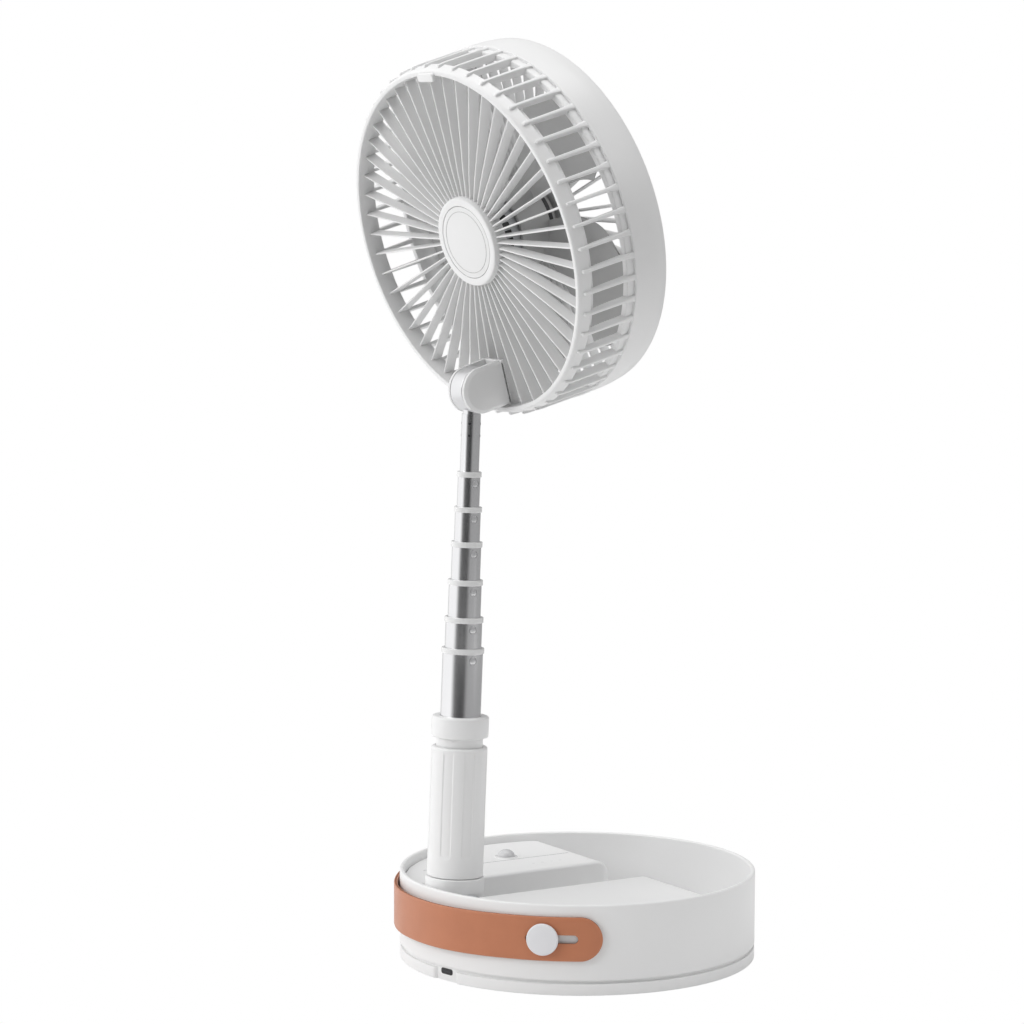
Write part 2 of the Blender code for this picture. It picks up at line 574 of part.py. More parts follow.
def lock_sleeve():
    """Ribbed grip sleeve that slides on the column."""
    bore = COLUMN_RADIUS + GAP
    start = FOOT_TOP + GAP
    outline = [(bore, start), (SLEEVE_RADIUS - 0.5, start), (SLEEVE_RADIUS, start + 0.5),
               (SLEEVE_RADIUS, SLEEVE_TOP - 1.0), (SLEEVE_RADIUS - 1.0, SLEEVE_TOP), (bore, SLEEVE_TOP)]
    turned("lock_sleeve", outline, 2 * TUBE_SEGMENTS, POLE, WHITE)


def pole_tubes():
    """Seven tubes, each with a flared foot, and a ring on the top of all but the first."""
    for i, (radius, top, slide) in enumerate(zip(TUBE_RADII, TUBE_TOPS, TUBE_SLIDES)):
        outer = TUBE_RADII[i + 1] - TUBE_WALL if i < 6 else COLUMN_BORE
        flare = outer - 0.12
        bore = radius - TUBE_WALL
        pulled = sum(TUBE_SLIDES[i:])
        foot = TUBE_FOOT_LEVEL + pulled
        end = top if i == 0 else top - RING_LIP - FINE_GAP
        outline = [(bore, foot), (flare, foot), (flare, foot + 4.0), (radius, foot + 4.6), (radius, end),
                   (bore, end)]
        turned("tube_%d" % (i + 1), outline, TUBE_SEGMENTS, POLE, SATIN)
        if i > 0:
            inner = TUBE_RADII[i - 1] + FINE_GAP
            skin = radius + RING_WALL
            outline = [(inner, top), (skin, top), (skin, top - RING_HEIGHT),
                       (radius + FINE_GAP, top - RING_HEIGHT), (radius + FINE_GAP, top - RING_LIP),
                       (inner, top - RING_LIP)]
            turned("ring_%d" % (i + 1), outline, TUBE_SEGMENTS, POLE, WHITE)


# ---------------------------------------------------------------- neck and head

def neck():
    """Barrel between the ears, with a spigot down into the top tube, and the tilt pin."""
    barrel = rod("neck_barrel", BARREL_RADIUS, -BARREL_HALF_WIDTH, BARREL_HALF_WIDTH, 28, TURN, SATIN,
                 (NECK_OFFSET, 0, 0), ACROSS)
    spigot_radius = TUBE_RADII[0] - TUBE_WALL - FINE_GAP
    cut(barrel, rod("neck_spigot", spigot_radius, TUBE_TOPS[0] - NECK_LEVEL - 9.0, -PIN_RADIUS - 1.5, TUBE_SEGMENTS, TURN,
                    None), "UNION")
    cut(barrel, rod("neck_bore", PIN_RADIUS + GAP, -2 * EAR_OUTER, 2 * EAR_OUTER, 20, TURN, None,
                    (NECK_OFFSET, 0, 0), ACROSS))
    end = EAR_OUTER + GAP + 0.8
    turned("tilt_pin", [(0, -end), (PIN_RADIUS + 1.5, -end), (PIN_RADIUS + 1.5, -end + 0.8), (PIN_RADIUS, -end + 0.8),
                        (PIN_RADIUS, end - 0.8), (PIN_RADIUS + 1.5, end - 0.8), (PIN_RADIUS + 1.5, end), (0, end)],
           16, TURN, STEEL, (NECK_OFFSET, 0, 0), ACROSS)


EAR_INNER = BARREL_HALF_WIDTH + GAP
EAR_OUTER = EAR_INNER + EAR_THICKNESS


def neck_yoke():
    """Two round ears on a plate behind the rear grille."""
    face = SPOKE_X - GAP
    lip = RIM_X - GAP
    low = HEAD_CENTRE - GRILLE_RING_INNER + 1.0
    side = [(x, z) for x, z in arc(0, 0, BARREL_RADIUS, 90, 270, 12)]
    side += [(lip, -BARREL_RADIUS), (lip, low), (face, low), (face, BARREL_RADIUS)]
    yoke = prism("neck_yoke", side, -EAR_OUTER, EAR_OUTER, HEAD, WHITE, turn=ACROSS)
    window = arc(0, 0, BARREL_RADIUS + 0.6, -90, 90, 12) + [(-2 * BARREL_RADIUS, BARREL_RADIUS + 0.6),
                                                            (-2 * BARREL_RADIUS, -BARREL_RADIUS - 0.6)]
    cut(yoke, prism("yoke_window", window, -EAR_INNER, EAR_INNER, HEAD, None, turn=ACROSS))
    cut(yoke, rod("yoke_bore", PIN_RADIUS + 0.2, -2 * EAR_OUTER, 2 * EAR_OUTER, 20, HEAD, None, turn=ACROSS))


def barred_shell(name, stations, material):
    """Shell of revolution about the head's axis with bars: stations go from the hub outwards.

    Each station is (outer height, outer radius, inner height, inner radius, barred); between a barred
    station and the next only the bars are solid, as many as there are spokes and one spoke thick.
    """
    pitch = FULL_TURN / SPOKE_COUNT
    bm = bmesh.new()
    skins = []
    for out_height, out_radius, in_height, in_radius, _ in stations:
        pair = []
        for height, radius in ((out_height, out_radius), (in_height, in_radius)):
            half = min(SPOKE_THICKNESS / 2 / out_radius, pitch / 4)
            angles = [pitch * (k + 0.5) + sign * half for k in range(SPOKE_COUNT) for sign in (-1, 1)]
            pair.append([bm.verts.new((radius * math.cos(a), radius * math.sin(a), height)) for a in angles])
        skins.append(pair)
    columns = 2 * SPOKE_COUNT

    def solid(station, column):
        if not 0 <= station < len(stations) - 1:
            return False
        return column % 2 == 0 or not stations[station][4]

    for j, ((outer, inner), (next_outer, next_inner)) in enumerate(zip(skins, skins[1:])):
        for i in range(columns):
            k = (i + 1) % columns
            if not solid(j, i):
                continue
            bm.faces.new((outer[i], outer[k], next_outer[k], next_outer[i]))
            bm.faces.new((inner[k], inner[i], next_inner[i], next_inner[k]))
            if not solid(j, i - 1):
                bm.faces.new((outer[i], next_outer[i], next_inner[i], inner[i]))
            if not solid(j, k):
                bm.faces.new((outer[k], inner[k], next_inner[k], next_outer[k]))
            if j > 0 and not solid(j - 1, i):
                bm.faces.new((outer[i], inner[i], inner[k], outer[k]))
            if not solid(j + 1, i):
                bm.faces.new((next_outer[i], next_outer[k], next_inner[k], next_inner[i]))
    bm.faces.new(skins[0][0])
    bm.faces.new(skins[0][1])
    return new_object(name, bm, AXIS, material)


def rear_cage():
    """Hub, deep radial spokes, rear ring and side slats in one moulding."""
    back = SPOKE_X
    front = SPOKE_X + SPOKE_DEPTH
    recess = BADGE_THICKNESS + GAP
    ring = GRILLE_RING_INNER
    fit = HEAD_RADIUS - SHROUD_WALL - GAP
    face = back - HUB_STAND
    stations = [(face + recess, BADGE_RADIUS + 0.3, front, BADGE_RADIUS, False),
                (face, BADGE_RADIUS + 0.3, front, BADGE_RADIUS + 0.6, False),
                (face, HUB_RADIUS - 0.6, front, HUB_RADIUS - 0.6, False),
                (back, HUB_RADIUS, front, HUB_RADIUS, True),
                (back, ring, front, ring, False),
                (RIM_X, RIM_RADIUS - 1.0, front + 0.5, RIM_RADIUS - 3.0, False),
                (RIM_X + SLAT_START, HEAD_RADIUS - 2.0, front + 2.0, fit - 3.0, True),
                (SHROUD_START, fit, SHROUD_START, fit - 3.0, False),
                (SHROUD_START + 6.0, fit, SHROUD_START + 6.0, fit - 3.0, False)]
    barred_shell("rear_cage", stations, WHITE)


def shroud():
    """Smooth outer ring round the front half of the head."""
    inner = HEAD_RADIUS - SHROUD_WALL
    start = SHROUD_START + GAP
    outline = [(inner, start), (HEAD_RADIUS, start), (HEAD_RADIUS - 0.7, RIM_FRONT - 1.6),
               (HEAD_RADIUS - 2.0, RIM_FRONT),
               (HEAD_RADIUS - 4.5, RIM_FRONT), (HEAD_RADIUS - 4.5, RIM_FRONT - 1.5), (inner, RIM_FRONT - 2.5)]
    turned("shroud", outline, SPOKE_COUNT, AXIS, WHITE)


def front_grille():
    """Flat grille behind the shroud's front lip."""
    face = RIM_FRONT - 2.5 - GAP
    back = face - FRONT_GRILLE_DEPTH
    edge = HEAD_RADIUS - SHROUD_WALL - GAP
    stations = [(face, HUB_RADIUS - 2.0, back, HUB_RADIUS - 2.0, False),
                (face, HUB_RADIUS, back, HUB_RADIUS, True),
                (face, HEAD_RADIUS - 7.0, back, HEAD_RADIUS - 7.0, False),
                (face, edge, back, edge, False)]
    barred_shell("front_grille", stations, WHITE)


def badge(name, start, material):
    turned(name, [(0, start), (BADGE_RADIUS - 0.4, start), (BADGE_RADIUS, start + 0.3),
                  (BADGE_RADIUS, start + BADGE_THICKNESS), (0, start + BADGE_THICKNESS)], 24, AXIS, material)


def stow_latch():
    """Small rounded tab on the rear lip, opposite the neck."""
    radius = RIM_RADIUS - LATCH_HEIGHT / 2 - 0.6
    outline = rounded_box(LATCH_HEIGHT, LATCH_WIDTH, 1.2, 3)
    prism("stow_latch", outline, RIM_X - GAP - LATCH_THICKNESS, RIM_X - GAP, AXIS, WHITE, (-radius, 0, 0))


def motor():
    """Housing, stator, bearings and the shaft with its magnet."""
    back = MOTOR_START + MOTOR_WALL
    end = MOTOR_END
    bore = SHAFT_RADIUS + GAP
    turned("motor_housing", [(0, MOTOR_START), (MOTOR_RADIUS, MOTOR_START), (MOTOR_RADIUS, end - 1.0),
                             (MOTOR_RADIUS - 1.0, end), (bore, end), (bore, end - MOTOR_WALL),
                             (MOTOR_RADIUS - MOTOR_WALL, end - MOTOR_WALL), (MOTOR_RADIUS - MOTOR_WALL, back),
                             (0, back)], 24, AXIS, LIGHT_GREY)
    rim = MOTOR_RADIUS - MOTOR_WALL - GAP
    turned("motor_stator", [(MAGNET_RADIUS + 0.5, back + 3.0), (rim, back + 3.0), (rim, end - MOTOR_WALL - 3.0),
                            (MAGNET_RADIUS + 0.5, end - MOTOR_WALL - 3.0)], 20, AXIS, COPPER)
    bearing = [(SHAFT_RADIUS + FINE_GAP, 0), (4.5, 0), (4.5, 2.0), (SHAFT_RADIUS + FINE_GAP, 2.0)]
    turned("rear_bearing", bearing, 16, AXIS, STEEL, (0, 0, back + GAP))
    turned("front_bearing", bearing, 16, AXIS, STEEL, (0, 0, end - MOTOR_WALL - GAP - 2.0))
    magnet_start, magnet_end = back + 3.2, end - MOTOR_WALL - 3.2
    turned("motor_shaft", [(0, back + GAP), (SHAFT_RADIUS, back + GAP), (SHAFT_RADIUS, magnet_start),
                           (MAGNET_RADIUS, magnet_start), (MAGNET_RADIUS, magnet_end),
                           (SHAFT_RADIUS, magnet_end), (SHAFT_RADIUS, HUB_END + 1.6), (0, HUB_END + 1.6)],
           20, AXIS, STEEL)


def add_blade(bm, start_angle):
    """One blade: a grid out from the hub and across the chord, pitched along the axis, with a skin each side."""
    spans, chords = 5, 4
    sides = ([], [])
    for i in range(spans + 1):
        out = i / spans
        radius = ROTOR_HUB_RADIUS - 1.0 + (BLADE_TIP - ROTOR_HUB_RADIUS + 1.0) * out
        width = math.radians(BLADE_CHORD_ANGLE) * (1.0 + 0.25 * math.sin(math.pi * out)) * (1 - 0.12 * out)
        rise = BLADE_RISE * (0.62 + 0.38 * out)
        rows = ([], [])
        for j in range(chords + 1):
            across = j / chords - 0.5
            angle = start_angle + width * across + math.radians(BLADE_SWEEP) * out * out
            middle = HUB_END - 2.0 - BLADE_RISE / 2 * 0.62 + rise * across * (0.35 - 0.65)
            middle += 1.6 * (0.25 - across * across) * 4
            half = BLADE_THICKNESS / 2 * (1.0 if 0 < j < chords else 0.6)
            for rows_side, sign in zip(rows, (1, -1)):
                rows_side.append(bm.verts.new((radius * math.cos(angle), radius * math.sin(angle),
                                               middle + sign * half)))
        sides[0].append(rows[0])
        sides[1].append(rows[1])
    for grid in sides:
        for i in range(spans):
            for j in range(chords):
                bm.faces.new((grid[i][j], grid[i + 1][j], grid[i + 1][j + 1], grid[i][j + 1]))
    top, under = sides
    edge = [(0, j) for j in range(chords)] + [(i, chords) for i in range(spans)]
    edge += [(spans, chords - j) for j in range(chords)] + [(spans - i, 0) for i in range(spans)]
    for (i, j), (k, m) in zip(edge, edge[1:] + edge[:1]):
        bm.faces.new((top[i][j], top[k][m], under[k][m], under[i][j]))


def rotor():
    """Hub cup with its blades, and the cap that holds it on the shaft."""
    inner = ROTOR_HUB_RADIUS - ROTOR_HUB_WALL
    bore = SHAFT_RADIUS + FINE_GAP
    outline = [(bore, HUB_START + 3.0), (5.0, HUB_START + 3.0), (5.0, HUB_END - 2.0), (inner, HUB_END - 2.0),
               (inner, HUB_START - ROTOR_SKIRT), (ROTOR_HUB_RADIUS, HUB_START - ROTOR_SKIRT),
               (ROTOR_HUB_RADIUS, HUB_END - 1.2),
               (ROTOR_HUB_RADIUS - 1.2, HUB_END), (bore, HUB_END)]
    hub = turned("fan_rotor", outline, 30, AXIS, WHITE)
    bm = bmesh.new()
    for k in range(BLADE_COUNT):
        add_blade(bm, FULL_TURN * k / BLADE_COUNT)
    cut(hub, new_object("rotor_blades", bm, AXIS, None), "UNION")
    start = HUB_END + GAP
    turned("rotor_cap", [(SHAFT_RADIUS + FINE_GAP, start), (4.0, start), (4.0, start + 1.6), (3.0, start + 2.4),
                         (0, start + 2.4), (0, HUB_END + 1.6 + FINE_GAP),
                         (SHAFT_RADIUS + FINE_GAP, HUB_END + 1.6 + FINE_GAP)][::-1], 20, AXIS, STEEL)


# ---------------------------------------------------------------- assembly

base_shell()
bottom_plate()
platform("control_housing", 1,
         [rod("hole", BUTTON_RADIUS + GAP, 0, BASE_HEIGHT, 24, None, None, (BUTTON_X, BUTTON_Y, 0))]
         + [rod("hole", LIGHT_RADIUS + GAP, 0, BASE_HEIGHT, 12, None, None, (x, y, 0)) for x, y in LIGHT_PLACES])
platform("battery_housing", -1, [])
electronics()
power_button()
base_fasteners()
fold_bracket()
carry_strap()
pole_foot()
pole_column()
lock_sleeve()
pole_tubes()
neck()
neck_yoke()
rear_cage()
badge("rear_badge", SPOKE_X - HUB_STAND + GAP / 3, WHITE)
stow_latch()
shroud()
front_grille()
badge("front_badge", RIM_FRONT - 2.5, WHITE)
motor()
rotor()
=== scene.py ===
import json
import math

import bmesh
import bpy
import numpy as np
from mathutils import Matrix


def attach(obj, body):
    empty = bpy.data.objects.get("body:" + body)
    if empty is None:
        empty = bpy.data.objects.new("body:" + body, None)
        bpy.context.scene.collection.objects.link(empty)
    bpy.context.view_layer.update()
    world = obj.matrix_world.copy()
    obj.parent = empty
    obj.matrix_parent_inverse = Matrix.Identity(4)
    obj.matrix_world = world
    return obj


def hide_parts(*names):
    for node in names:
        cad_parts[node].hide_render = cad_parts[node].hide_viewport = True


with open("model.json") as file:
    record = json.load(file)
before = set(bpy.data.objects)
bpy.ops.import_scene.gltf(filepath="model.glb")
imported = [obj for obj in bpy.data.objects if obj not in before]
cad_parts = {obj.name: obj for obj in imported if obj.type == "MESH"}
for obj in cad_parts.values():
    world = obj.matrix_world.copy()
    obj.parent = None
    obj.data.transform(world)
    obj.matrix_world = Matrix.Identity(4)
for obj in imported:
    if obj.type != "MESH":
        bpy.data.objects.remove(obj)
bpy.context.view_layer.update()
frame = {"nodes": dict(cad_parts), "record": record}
jointOf = {joint["name"]: joint for joint in frame["record"]["behaviour"]["joints"]}
mm = 0.001
fullTurn = 2 * math.pi
print("frame loaded:", len(frame["nodes"]), "nodes")


# local frames: an origin in millimetres and three axes, read from the joints

def makeFrame(origin, axisX, axisY, axisZ):
    return np.array(origin, float), np.array([axisX, axisY, axisZ], float)


def unit(vector):
    vector = np.array(vector, float)
    return vector / np.linalg.norm(vector)


poleUp = unit(jointOf["tube_1_slide"]["axis"])
acrossPole = np.array([0.0, 1.0, 0.0])
acrossNeck = -unit(jointOf["head_tilt"]["axis"])
airWay = unit(jointOf["rotor_spin"]["axis"])
placeOf = {name: np.array(joint["pos_m"]) / mm for name, joint in jointOf.items() if "pos_m" in joint}

world = makeFrame((0, 0, 0), (1, 0, 0), (0, 1, 0), (0, 0, 1))
pole = makeFrame(placeOf["pole_fold"], np.cross(acrossPole, poleUp), acrossPole, poleUp)
neck = makeFrame(placeOf["head_pan"], np.cross(acrossNeck, poleUp), acrossNeck, poleUp)
head = makeFrame(placeOf["head_tilt"], airWay, acrossNeck, np.cross(airWay, acrossNeck))
headAxis = makeFrame(placeOf["rotor_spin"], -np.cross(airWay, acrossNeck), acrossNeck, airWay)


def aim(base, place, outward, up=(0, 0, 1)):
    # a frame inside another: its Z points outward, its X is as near `up` as it can be
    origin, axes = base
    axisZ = unit(outward)
    axisY = unit(np.cross(axisZ, up))
    axisX = np.cross(axisY, axisZ)
    return origin + np.array(place, float) @ axes, np.array([axisX, axisY, axisZ]) @ axes


def addPiece(name, points, faces, place, body, material, slot, replaces=(), sharp=38):
    # points in a local frame in mm; doubles are merged and the faces turned outwards
    origin, axes = place
    mesh = bpy.data.meshes.new(name)
    mesh.from_pydata(((points @ axes + origin) * mm).tolist(), [], [list(face) for face in faces])
    shape = bmesh.new()
    shape.from_mesh(mesh)
    bmesh.ops.remove_doubles(shape, verts=shape.verts, dist=2e-7)
    bmesh.ops.dissolve_degenerate(shape, edges=shape.edges, dist=1e-8)
    bmesh.ops.recalc_face_normals(shape, faces=shape.faces)
    shape.to_mesh(mesh)
    shape.free()
    mesh.shade_smooth()
    mesh.set_sharp_from_angle(angle=math.radians(sharp))
    piece = bpy.data.objects.new(name, mesh)
    bpy.context.scene.collection.objects.link(piece)
    mesh.materials.append(material)
    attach(piece, body)
    if replaces:
        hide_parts(*replaces)
    return piece


def gridFaces(rows, columns, wrapRows, wrapColumns, start=0):
    # quads between neighbouring points of a rows x columns grid
    i, j = np.meshgrid(np.arange(rows if wrapRows else rows - 1),
                       np.arange(columns if wrapColumns else columns - 1), indexing="ij")
    nextI, nextJ = (i + 1) % rows, (j + 1) % columns
    corners = [i * columns + j, i * columns + nextJ, nextI * columns + nextJ, nextI * columns + j]
    return np.stack(corners, -1).reshape(-1, 4) + start


def roundOff(outline, radii, steps=5, closed=False):
    # each corner of an outline becomes an arc that starts and ends its radius away from the corner
    outline = np.array(outline, float)
    result = []
    last = len(outline) - 1
    for i, (corner, radius) in enumerate(zip(outline, radii)):
        if radius == 0 or (not closed and i in (0, last)):
            result.append(corner[None])
            continue
        before, after = unit(outline[i - 1] - corner), unit(outline[(i + 1) % len(outline)] - corner)
        t = np.linspace(0, 1, steps + 1)[:, None]
        start, end = corner + before * radius, corner + after * radius
        result.append(start * (1 - t) ** 2 + corner * 2 * t * (1 - t) + end * t ** 2)
    return np.concatenate(result)


def revolve(profile, steps, ring):
    # (radius, height) profile carried round Z: x = r cos a, y = r sin a, z = h; a ring's profile is closed
    profile = np.asarray(profile, float)
    angle = np.arange(steps) * fullTurn / steps
    points = np.stack([profile[:, :1] * np.cos(angle), profile[:, :1] * np.sin(angle),
                       np.repeat(profile[:, 1:], steps, 1)], -1)
    return points.reshape(-1, 3), gridFaces(len(profile), steps, ring, True)


def turnedPiece(name, corners, radii, place, body, material, slot, steps=96, ring=True, replaces=(), fine=5):
    profile = roundOff(corners, radii, fine, closed=ring)
    points, faces = revolve(profile, steps, ring)
    return addPiece(name, points, faces, place, body, material, slot, replaces)


def inset(outline, distance):
    # an outline moved inwards along its own normals
    along = np.roll(outline, -1, 0) - np.roll(outline, 1, 0)
    along /= np.linalg.norm(along, axis=1)[:, None]
    return outline + distance * np.stack([-along[:, 1], along[:, 0]], 1)


def plate(outline, low, high, fillet, chamfer=None, steps=4):
    # anticlockwise outline lifted from low to high; edges are quarter-round, or chamfered on the high side
    quarter = np.linspace(0, math.pi / 2, steps + 1)
    back = [(fillet * (1 - math.sin(a)), low + fillet * (1 - math.cos(a))) for a in quarter]
    front = [(distance, high + low - height) for distance, height in reversed(back)]
    if chamfer:
        inward, down = chamfer
        front = [(0, high - down - 0.3), (0.12, high - down), (inward - 0.2, high - 0.12),
                 (inward + 0.1, high)]
    loops = [np.column_stack([inset(outline, distance), np.full(len(outline), height)])
             for distance, height in back + front]
    count = len(outline)
    faces = gridFaces(len(loops), count, False, True).tolist()
    faces += [list(range(count)), list(range(len(loops) * count - count, len(loops) * count))]
    return np.concatenate(loops), faces


def circleOutline(radius, steps=40, centre=(0, 0)):
    angle = np.arange(steps) * fullTurn / steps
    return np.column_stack([centre[0] + radius * np.cos(angle), centre[1] + radius * np.sin(angle)])


def roundedRectangle(width, height, corner, steps=6):
    # anticlockwise, centred on zero
    x, y = width / 2, height / 2
    return roundOff([(x, -y), (x, y), (-x, y), (-x, -y)], [corner] * 4, steps, closed=True)


def mergeParts(parts):
    points, faces, start = [], [], 0
    for some, quads in parts:
        points.append(some)
        faces += [[int(k) + start for k in quad] for quad in quads]
        start += len(some)
    return np.concatenate(points), faces


def spokesAround(sections, count, offset=0.5 + 0.11):
    # one bar, given as closed sections of (x, y, z) along its length, copied round the Z axis
    sections = np.asarray(sections, float)
    rows, columns = sections.shape[:2]
    angle = (np.arange(count) + offset) * fullTurn / count
    turn = np.zeros((count, 3, 3))
    turn[:, 0, 0], turn[:, 0, 1] = np.cos(angle), np.sin(angle)
    turn[:, 1, 0], turn[:, 1, 1] = -np.sin(angle), np.cos(angle)
    turn[:, 2, 2] = 1
    points = np.einsum("ijk,nkl->nijl", sections, turn).reshape(-1, 3)
    one = gridFaces(rows, columns, False, True)
    faces = (one[None] + (np.arange(count) * rows * columns)[:, None, None]).reshape(-1, 4).tolist()
    ends = [np.arange(columns), np.arange(columns) + (rows - 1) * columns]
    for k in range(count):
        faces += [(end + k * rows * columns).tolist() for end in ends]
    return points, faces


def newGroup(name, inputs, outputs):
    group = bpy.data.node_groups.new(name, "ShaderNodeTree")
    for title, kind, value in inputs:
        socket = group.interface.new_socket(title, in_out="INPUT", socket_type=kind)
        socket.default_value = value
    for title, kind in outputs:
        group.interface.new_socket(title, in_out="OUTPUT", socket_type=kind)
    return group, group.nodes.new("NodeGroupInput"), group.nodes.new("NodeGroupOutput")


def surfaceGroup():
    # slow tone drift, handling marks in the gloss and a fine moulded or grained relief
    group, source, result = newGroup("surfaceFinish", [
        ("Color", "NodeSocketColor", (0.8, 0.8, 0.8, 1)),
        ("Dark Color", "NodeSocketColor", (0.7, 0.7, 0.7, 1)),
        ("Tone Scale", "NodeSocketFloat", 18.0), ("Roughness", "NodeSocketFloat", 0.35),
        ("Roughness Spread", "NodeSocketFloat", 0.08), ("Grain Scale", "NodeSocketFloat", 2500.0),
        ("Stretch", "NodeSocketVector", (1, 1, 1))],
        [("Color", "NodeSocketColor"), ("Roughness", "NodeSocketFloat"), ("Height", "NodeSocketFloat")])
    nodes, links = group.nodes, group.links
    place = nodes.new("ShaderNodeTexCoord")
    stretch = nodes.new("ShaderNodeVectorMath")
    stretch.operation = "MULTIPLY"
    links.new(place.outputs["Object"], stretch.inputs[0])
    links.new(source.outputs["Stretch"], stretch.inputs[1])
    noises = {}
    for title, scale, detail in (("tone", "Tone Scale", 3.0), ("grain", "Grain Scale", 2.0)):
        noise = nodes.new("ShaderNodeTexNoise")
        noise.inputs["Detail"].default_value = detail
        links.new(stretch.outputs[0], noise.inputs["Vector"])
        links.new(source.outputs[scale], noise.inputs["Scale"])
        noises[title] = noise
    smear = nodes.new("ShaderNodeTexNoise")
    smear.inputs["Scale"].default_value = 45.0
    smear.inputs["Detail"].default_value = 4.0
    links.new(stretch.outputs[0], smear.inputs["Vector"])
    mix = nodes.new("ShaderNodeMix")
    mix.data_type = "RGBA"
    links.new(noises["tone"].outputs["Fac"], mix.inputs["Factor"])
    links.new(source.outputs["Dark Color"], mix.inputs["A"])
    links.new(source.outputs["Color"], mix.inputs["B"])
    centred = nodes.new("ShaderNodeMath")
    centred.operation = "SUBTRACT"
    centred.inputs[1].default_value = 0.5
    links.new(smear.outputs["Fac"], centred.inputs[0])
    spread = nodes.new("ShaderNodeMath")
    spread.operation = "MULTIPLY_ADD"
    links.new(centred.outputs[0], spread.inputs[0])
    links.new(source.outputs["Roughness Spread"], spread.inputs[1])
    links.new(source.outputs["Roughness"], spread.inputs[2])
    links.new(mix.outputs["Result"], result.inputs["Color"])
    links.new(spread.outputs[0], result.inputs["Roughness"])
    links.new(noises["grain"].outputs["Fac"], result.inputs["Height"])
    return group


finishGroup = surfaceGroup()


def finish(name, color, dark, roughness, spread=0.08, tone=18.0, grain=2500.0, bump=0.04, depth=0.00003,
           metallic=0.0, stretch=(1, 1, 1), coat=0.0, specular=0.5):
    material = bpy.data.materials.new(name)
    material.use_nodes = True
    nodes, links = material.node_tree.nodes, material.node_tree.links
    shader = nodes["Principled BSDF"]
    shader.inputs["Metallic"].default_value = metallic
    shader.inputs["Coat Weight"].default_value = coat
    shader.inputs["Coat Roughness"].default_value = 0.12
    shader.inputs["Specular IOR Level"].default_value = specular
    group = nodes.new("ShaderNodeGroup")
    group.node_tree = finishGroup
    for title, value in (("Color", (*color, 1)), ("Dark Color", (*dark, 1)), ("Tone Scale", tone),
                         ("Roughness", roughness), ("Roughness Spread", spread), ("Grain Scale", grain),
                         ("Stretch", stretch)):
        group.inputs[title].default_value = value
    relief = nodes.new("ShaderNodeBump")
    relief.inputs["Strength"].default_value = bump
    relief.inputs["Distance"].default_value = depth
    links.new(group.outputs["Color"], shader.inputs["Base Color"])
    links.new(group.outputs["Roughness"], shader.inputs["Roughness"])
    links.new(group.outputs["Height"], relief.inputs["Height"])
    links.new(relief.outputs["Normal"], shader.inputs["Normal"])
    return material


def leatherFinish(name, color, dark):
    # tanned face: cell grain from a Voronoi pattern over a cloudy brown
    material = finish(name, color, dark, 0.48, 0.16, tone=70.0, grain=1600.0, bump=0.3, depth=0.00008)
    nodes, links = material.node_tree.nodes, material.node_tree.links
    shader = nodes["Principled BSDF"]
    shader.inputs["Sheen Weight"].default_value = 0.2
    place = nodes.new("ShaderNodeTexCoord")
    cells = nodes.new("ShaderNodeTexVoronoi")
    cells.feature = "DISTANCE_TO_EDGE"
    cells.inputs["Scale"].default_value = 1100.0
    links.new(place.outputs["Object"], cells.inputs["Vector"])
    soften = nodes.new("ShaderNodeMapRange")
    soften.inputs["From Max"].default_value = 0.18
    links.new(cells.outputs["Distance"], soften.inputs["Value"])
    grain = nodes.new("ShaderNodeBump")
    grain.inputs["Strength"].default_value = 0.35
    grain.inputs["Distance"].default_value = 0.00006
    first = shader.inputs["Normal"].links[0].from_node
    links.new(soften.outputs["Result"], grain.inputs["Height"])
    links.new(first.outputs["Normal"], grain.inputs["Normal"])
    links.new(grain.outputs["Normal"], shader.inputs["Normal"])
    return material


whitePlastic = finish("whitePlastic", (0.85, 0.85, 0.85), (0.80, 0.80, 0.80), 0.36)
glossWhite = finish("glossWhite", (0.80, 0.80, 0.80), (0.76, 0.76, 0.76), 0.20, 0.05, coat=0.3)
# mid grey with painted shade: the light grey blades and rotor hub darkened for the shadow inside the guard;
# also the painted shade in the label groove
shadeDarkenedGrey = finish("shadeDarkenedGrey", (0.46, 0.46, 0.46), (0.41, 0.41, 0.41), 0.42)
studPlastic = finish("studPlastic", (0.77, 0.77, 0.79), (0.73, 0.73, 0.75), 0.34)
greyPlastic = finish("greyPlastic", (0.50, 0.51, 0.53), (0.45, 0.46, 0.48), 0.45)
buttonPlastic = finish("buttonPlastic", (0.62, 0.62, 0.63), (0.55, 0.55, 0.56), 0.22, coat=0.4)
lightWindow = finish("lightWindow", (0.74, 0.74, 0.75), (0.70, 0.70, 0.71), 0.3)
# near black: the dark plastic parts, and also painted shade in the rotor gap, motor slots and tube holes
darkPlastic = finish("darkPlastic", (0.022, 0.022, 0.025), (0.012, 0.012, 0.014), 0.4)
# painted shade: a grey for the shadow in narrow grooves and gaps, drawn as thin strips
grooveShade = finish("grooveShade", (0.36, 0.36, 0.37), (0.30, 0.30, 0.31), 0.6)
satinSteel = finish("satinSteel", (0.74, 0.74, 0.75), (0.66, 0.66, 0.67), 0.24, 0.10, tone=30.0, grain=3000.0,
                    bump=0.10, depth=0.00002, metallic=1.0, stretch=(1, 1, 0.03))
barrelMetal = finish("barrelMetal", (0.72, 0.72, 0.73), (0.66, 0.66, 0.67), 0.30, 0.06, metallic=0.9)
turnedSteel = finish("turnedSteel", (0.62, 0.62, 0.63), (0.50, 0.50, 0.51), 0.3, metallic=1.0)
rubber = finish("rubberPad", (0.07, 0.07, 0.075), (0.05, 0.05, 0.055), 0.8, grain=1500.0, bump=0.3)
boardGreen = finish("boardGreen", (0.03, 0.20, 0.09), (0.02, 0.15, 0.07), 0.4)
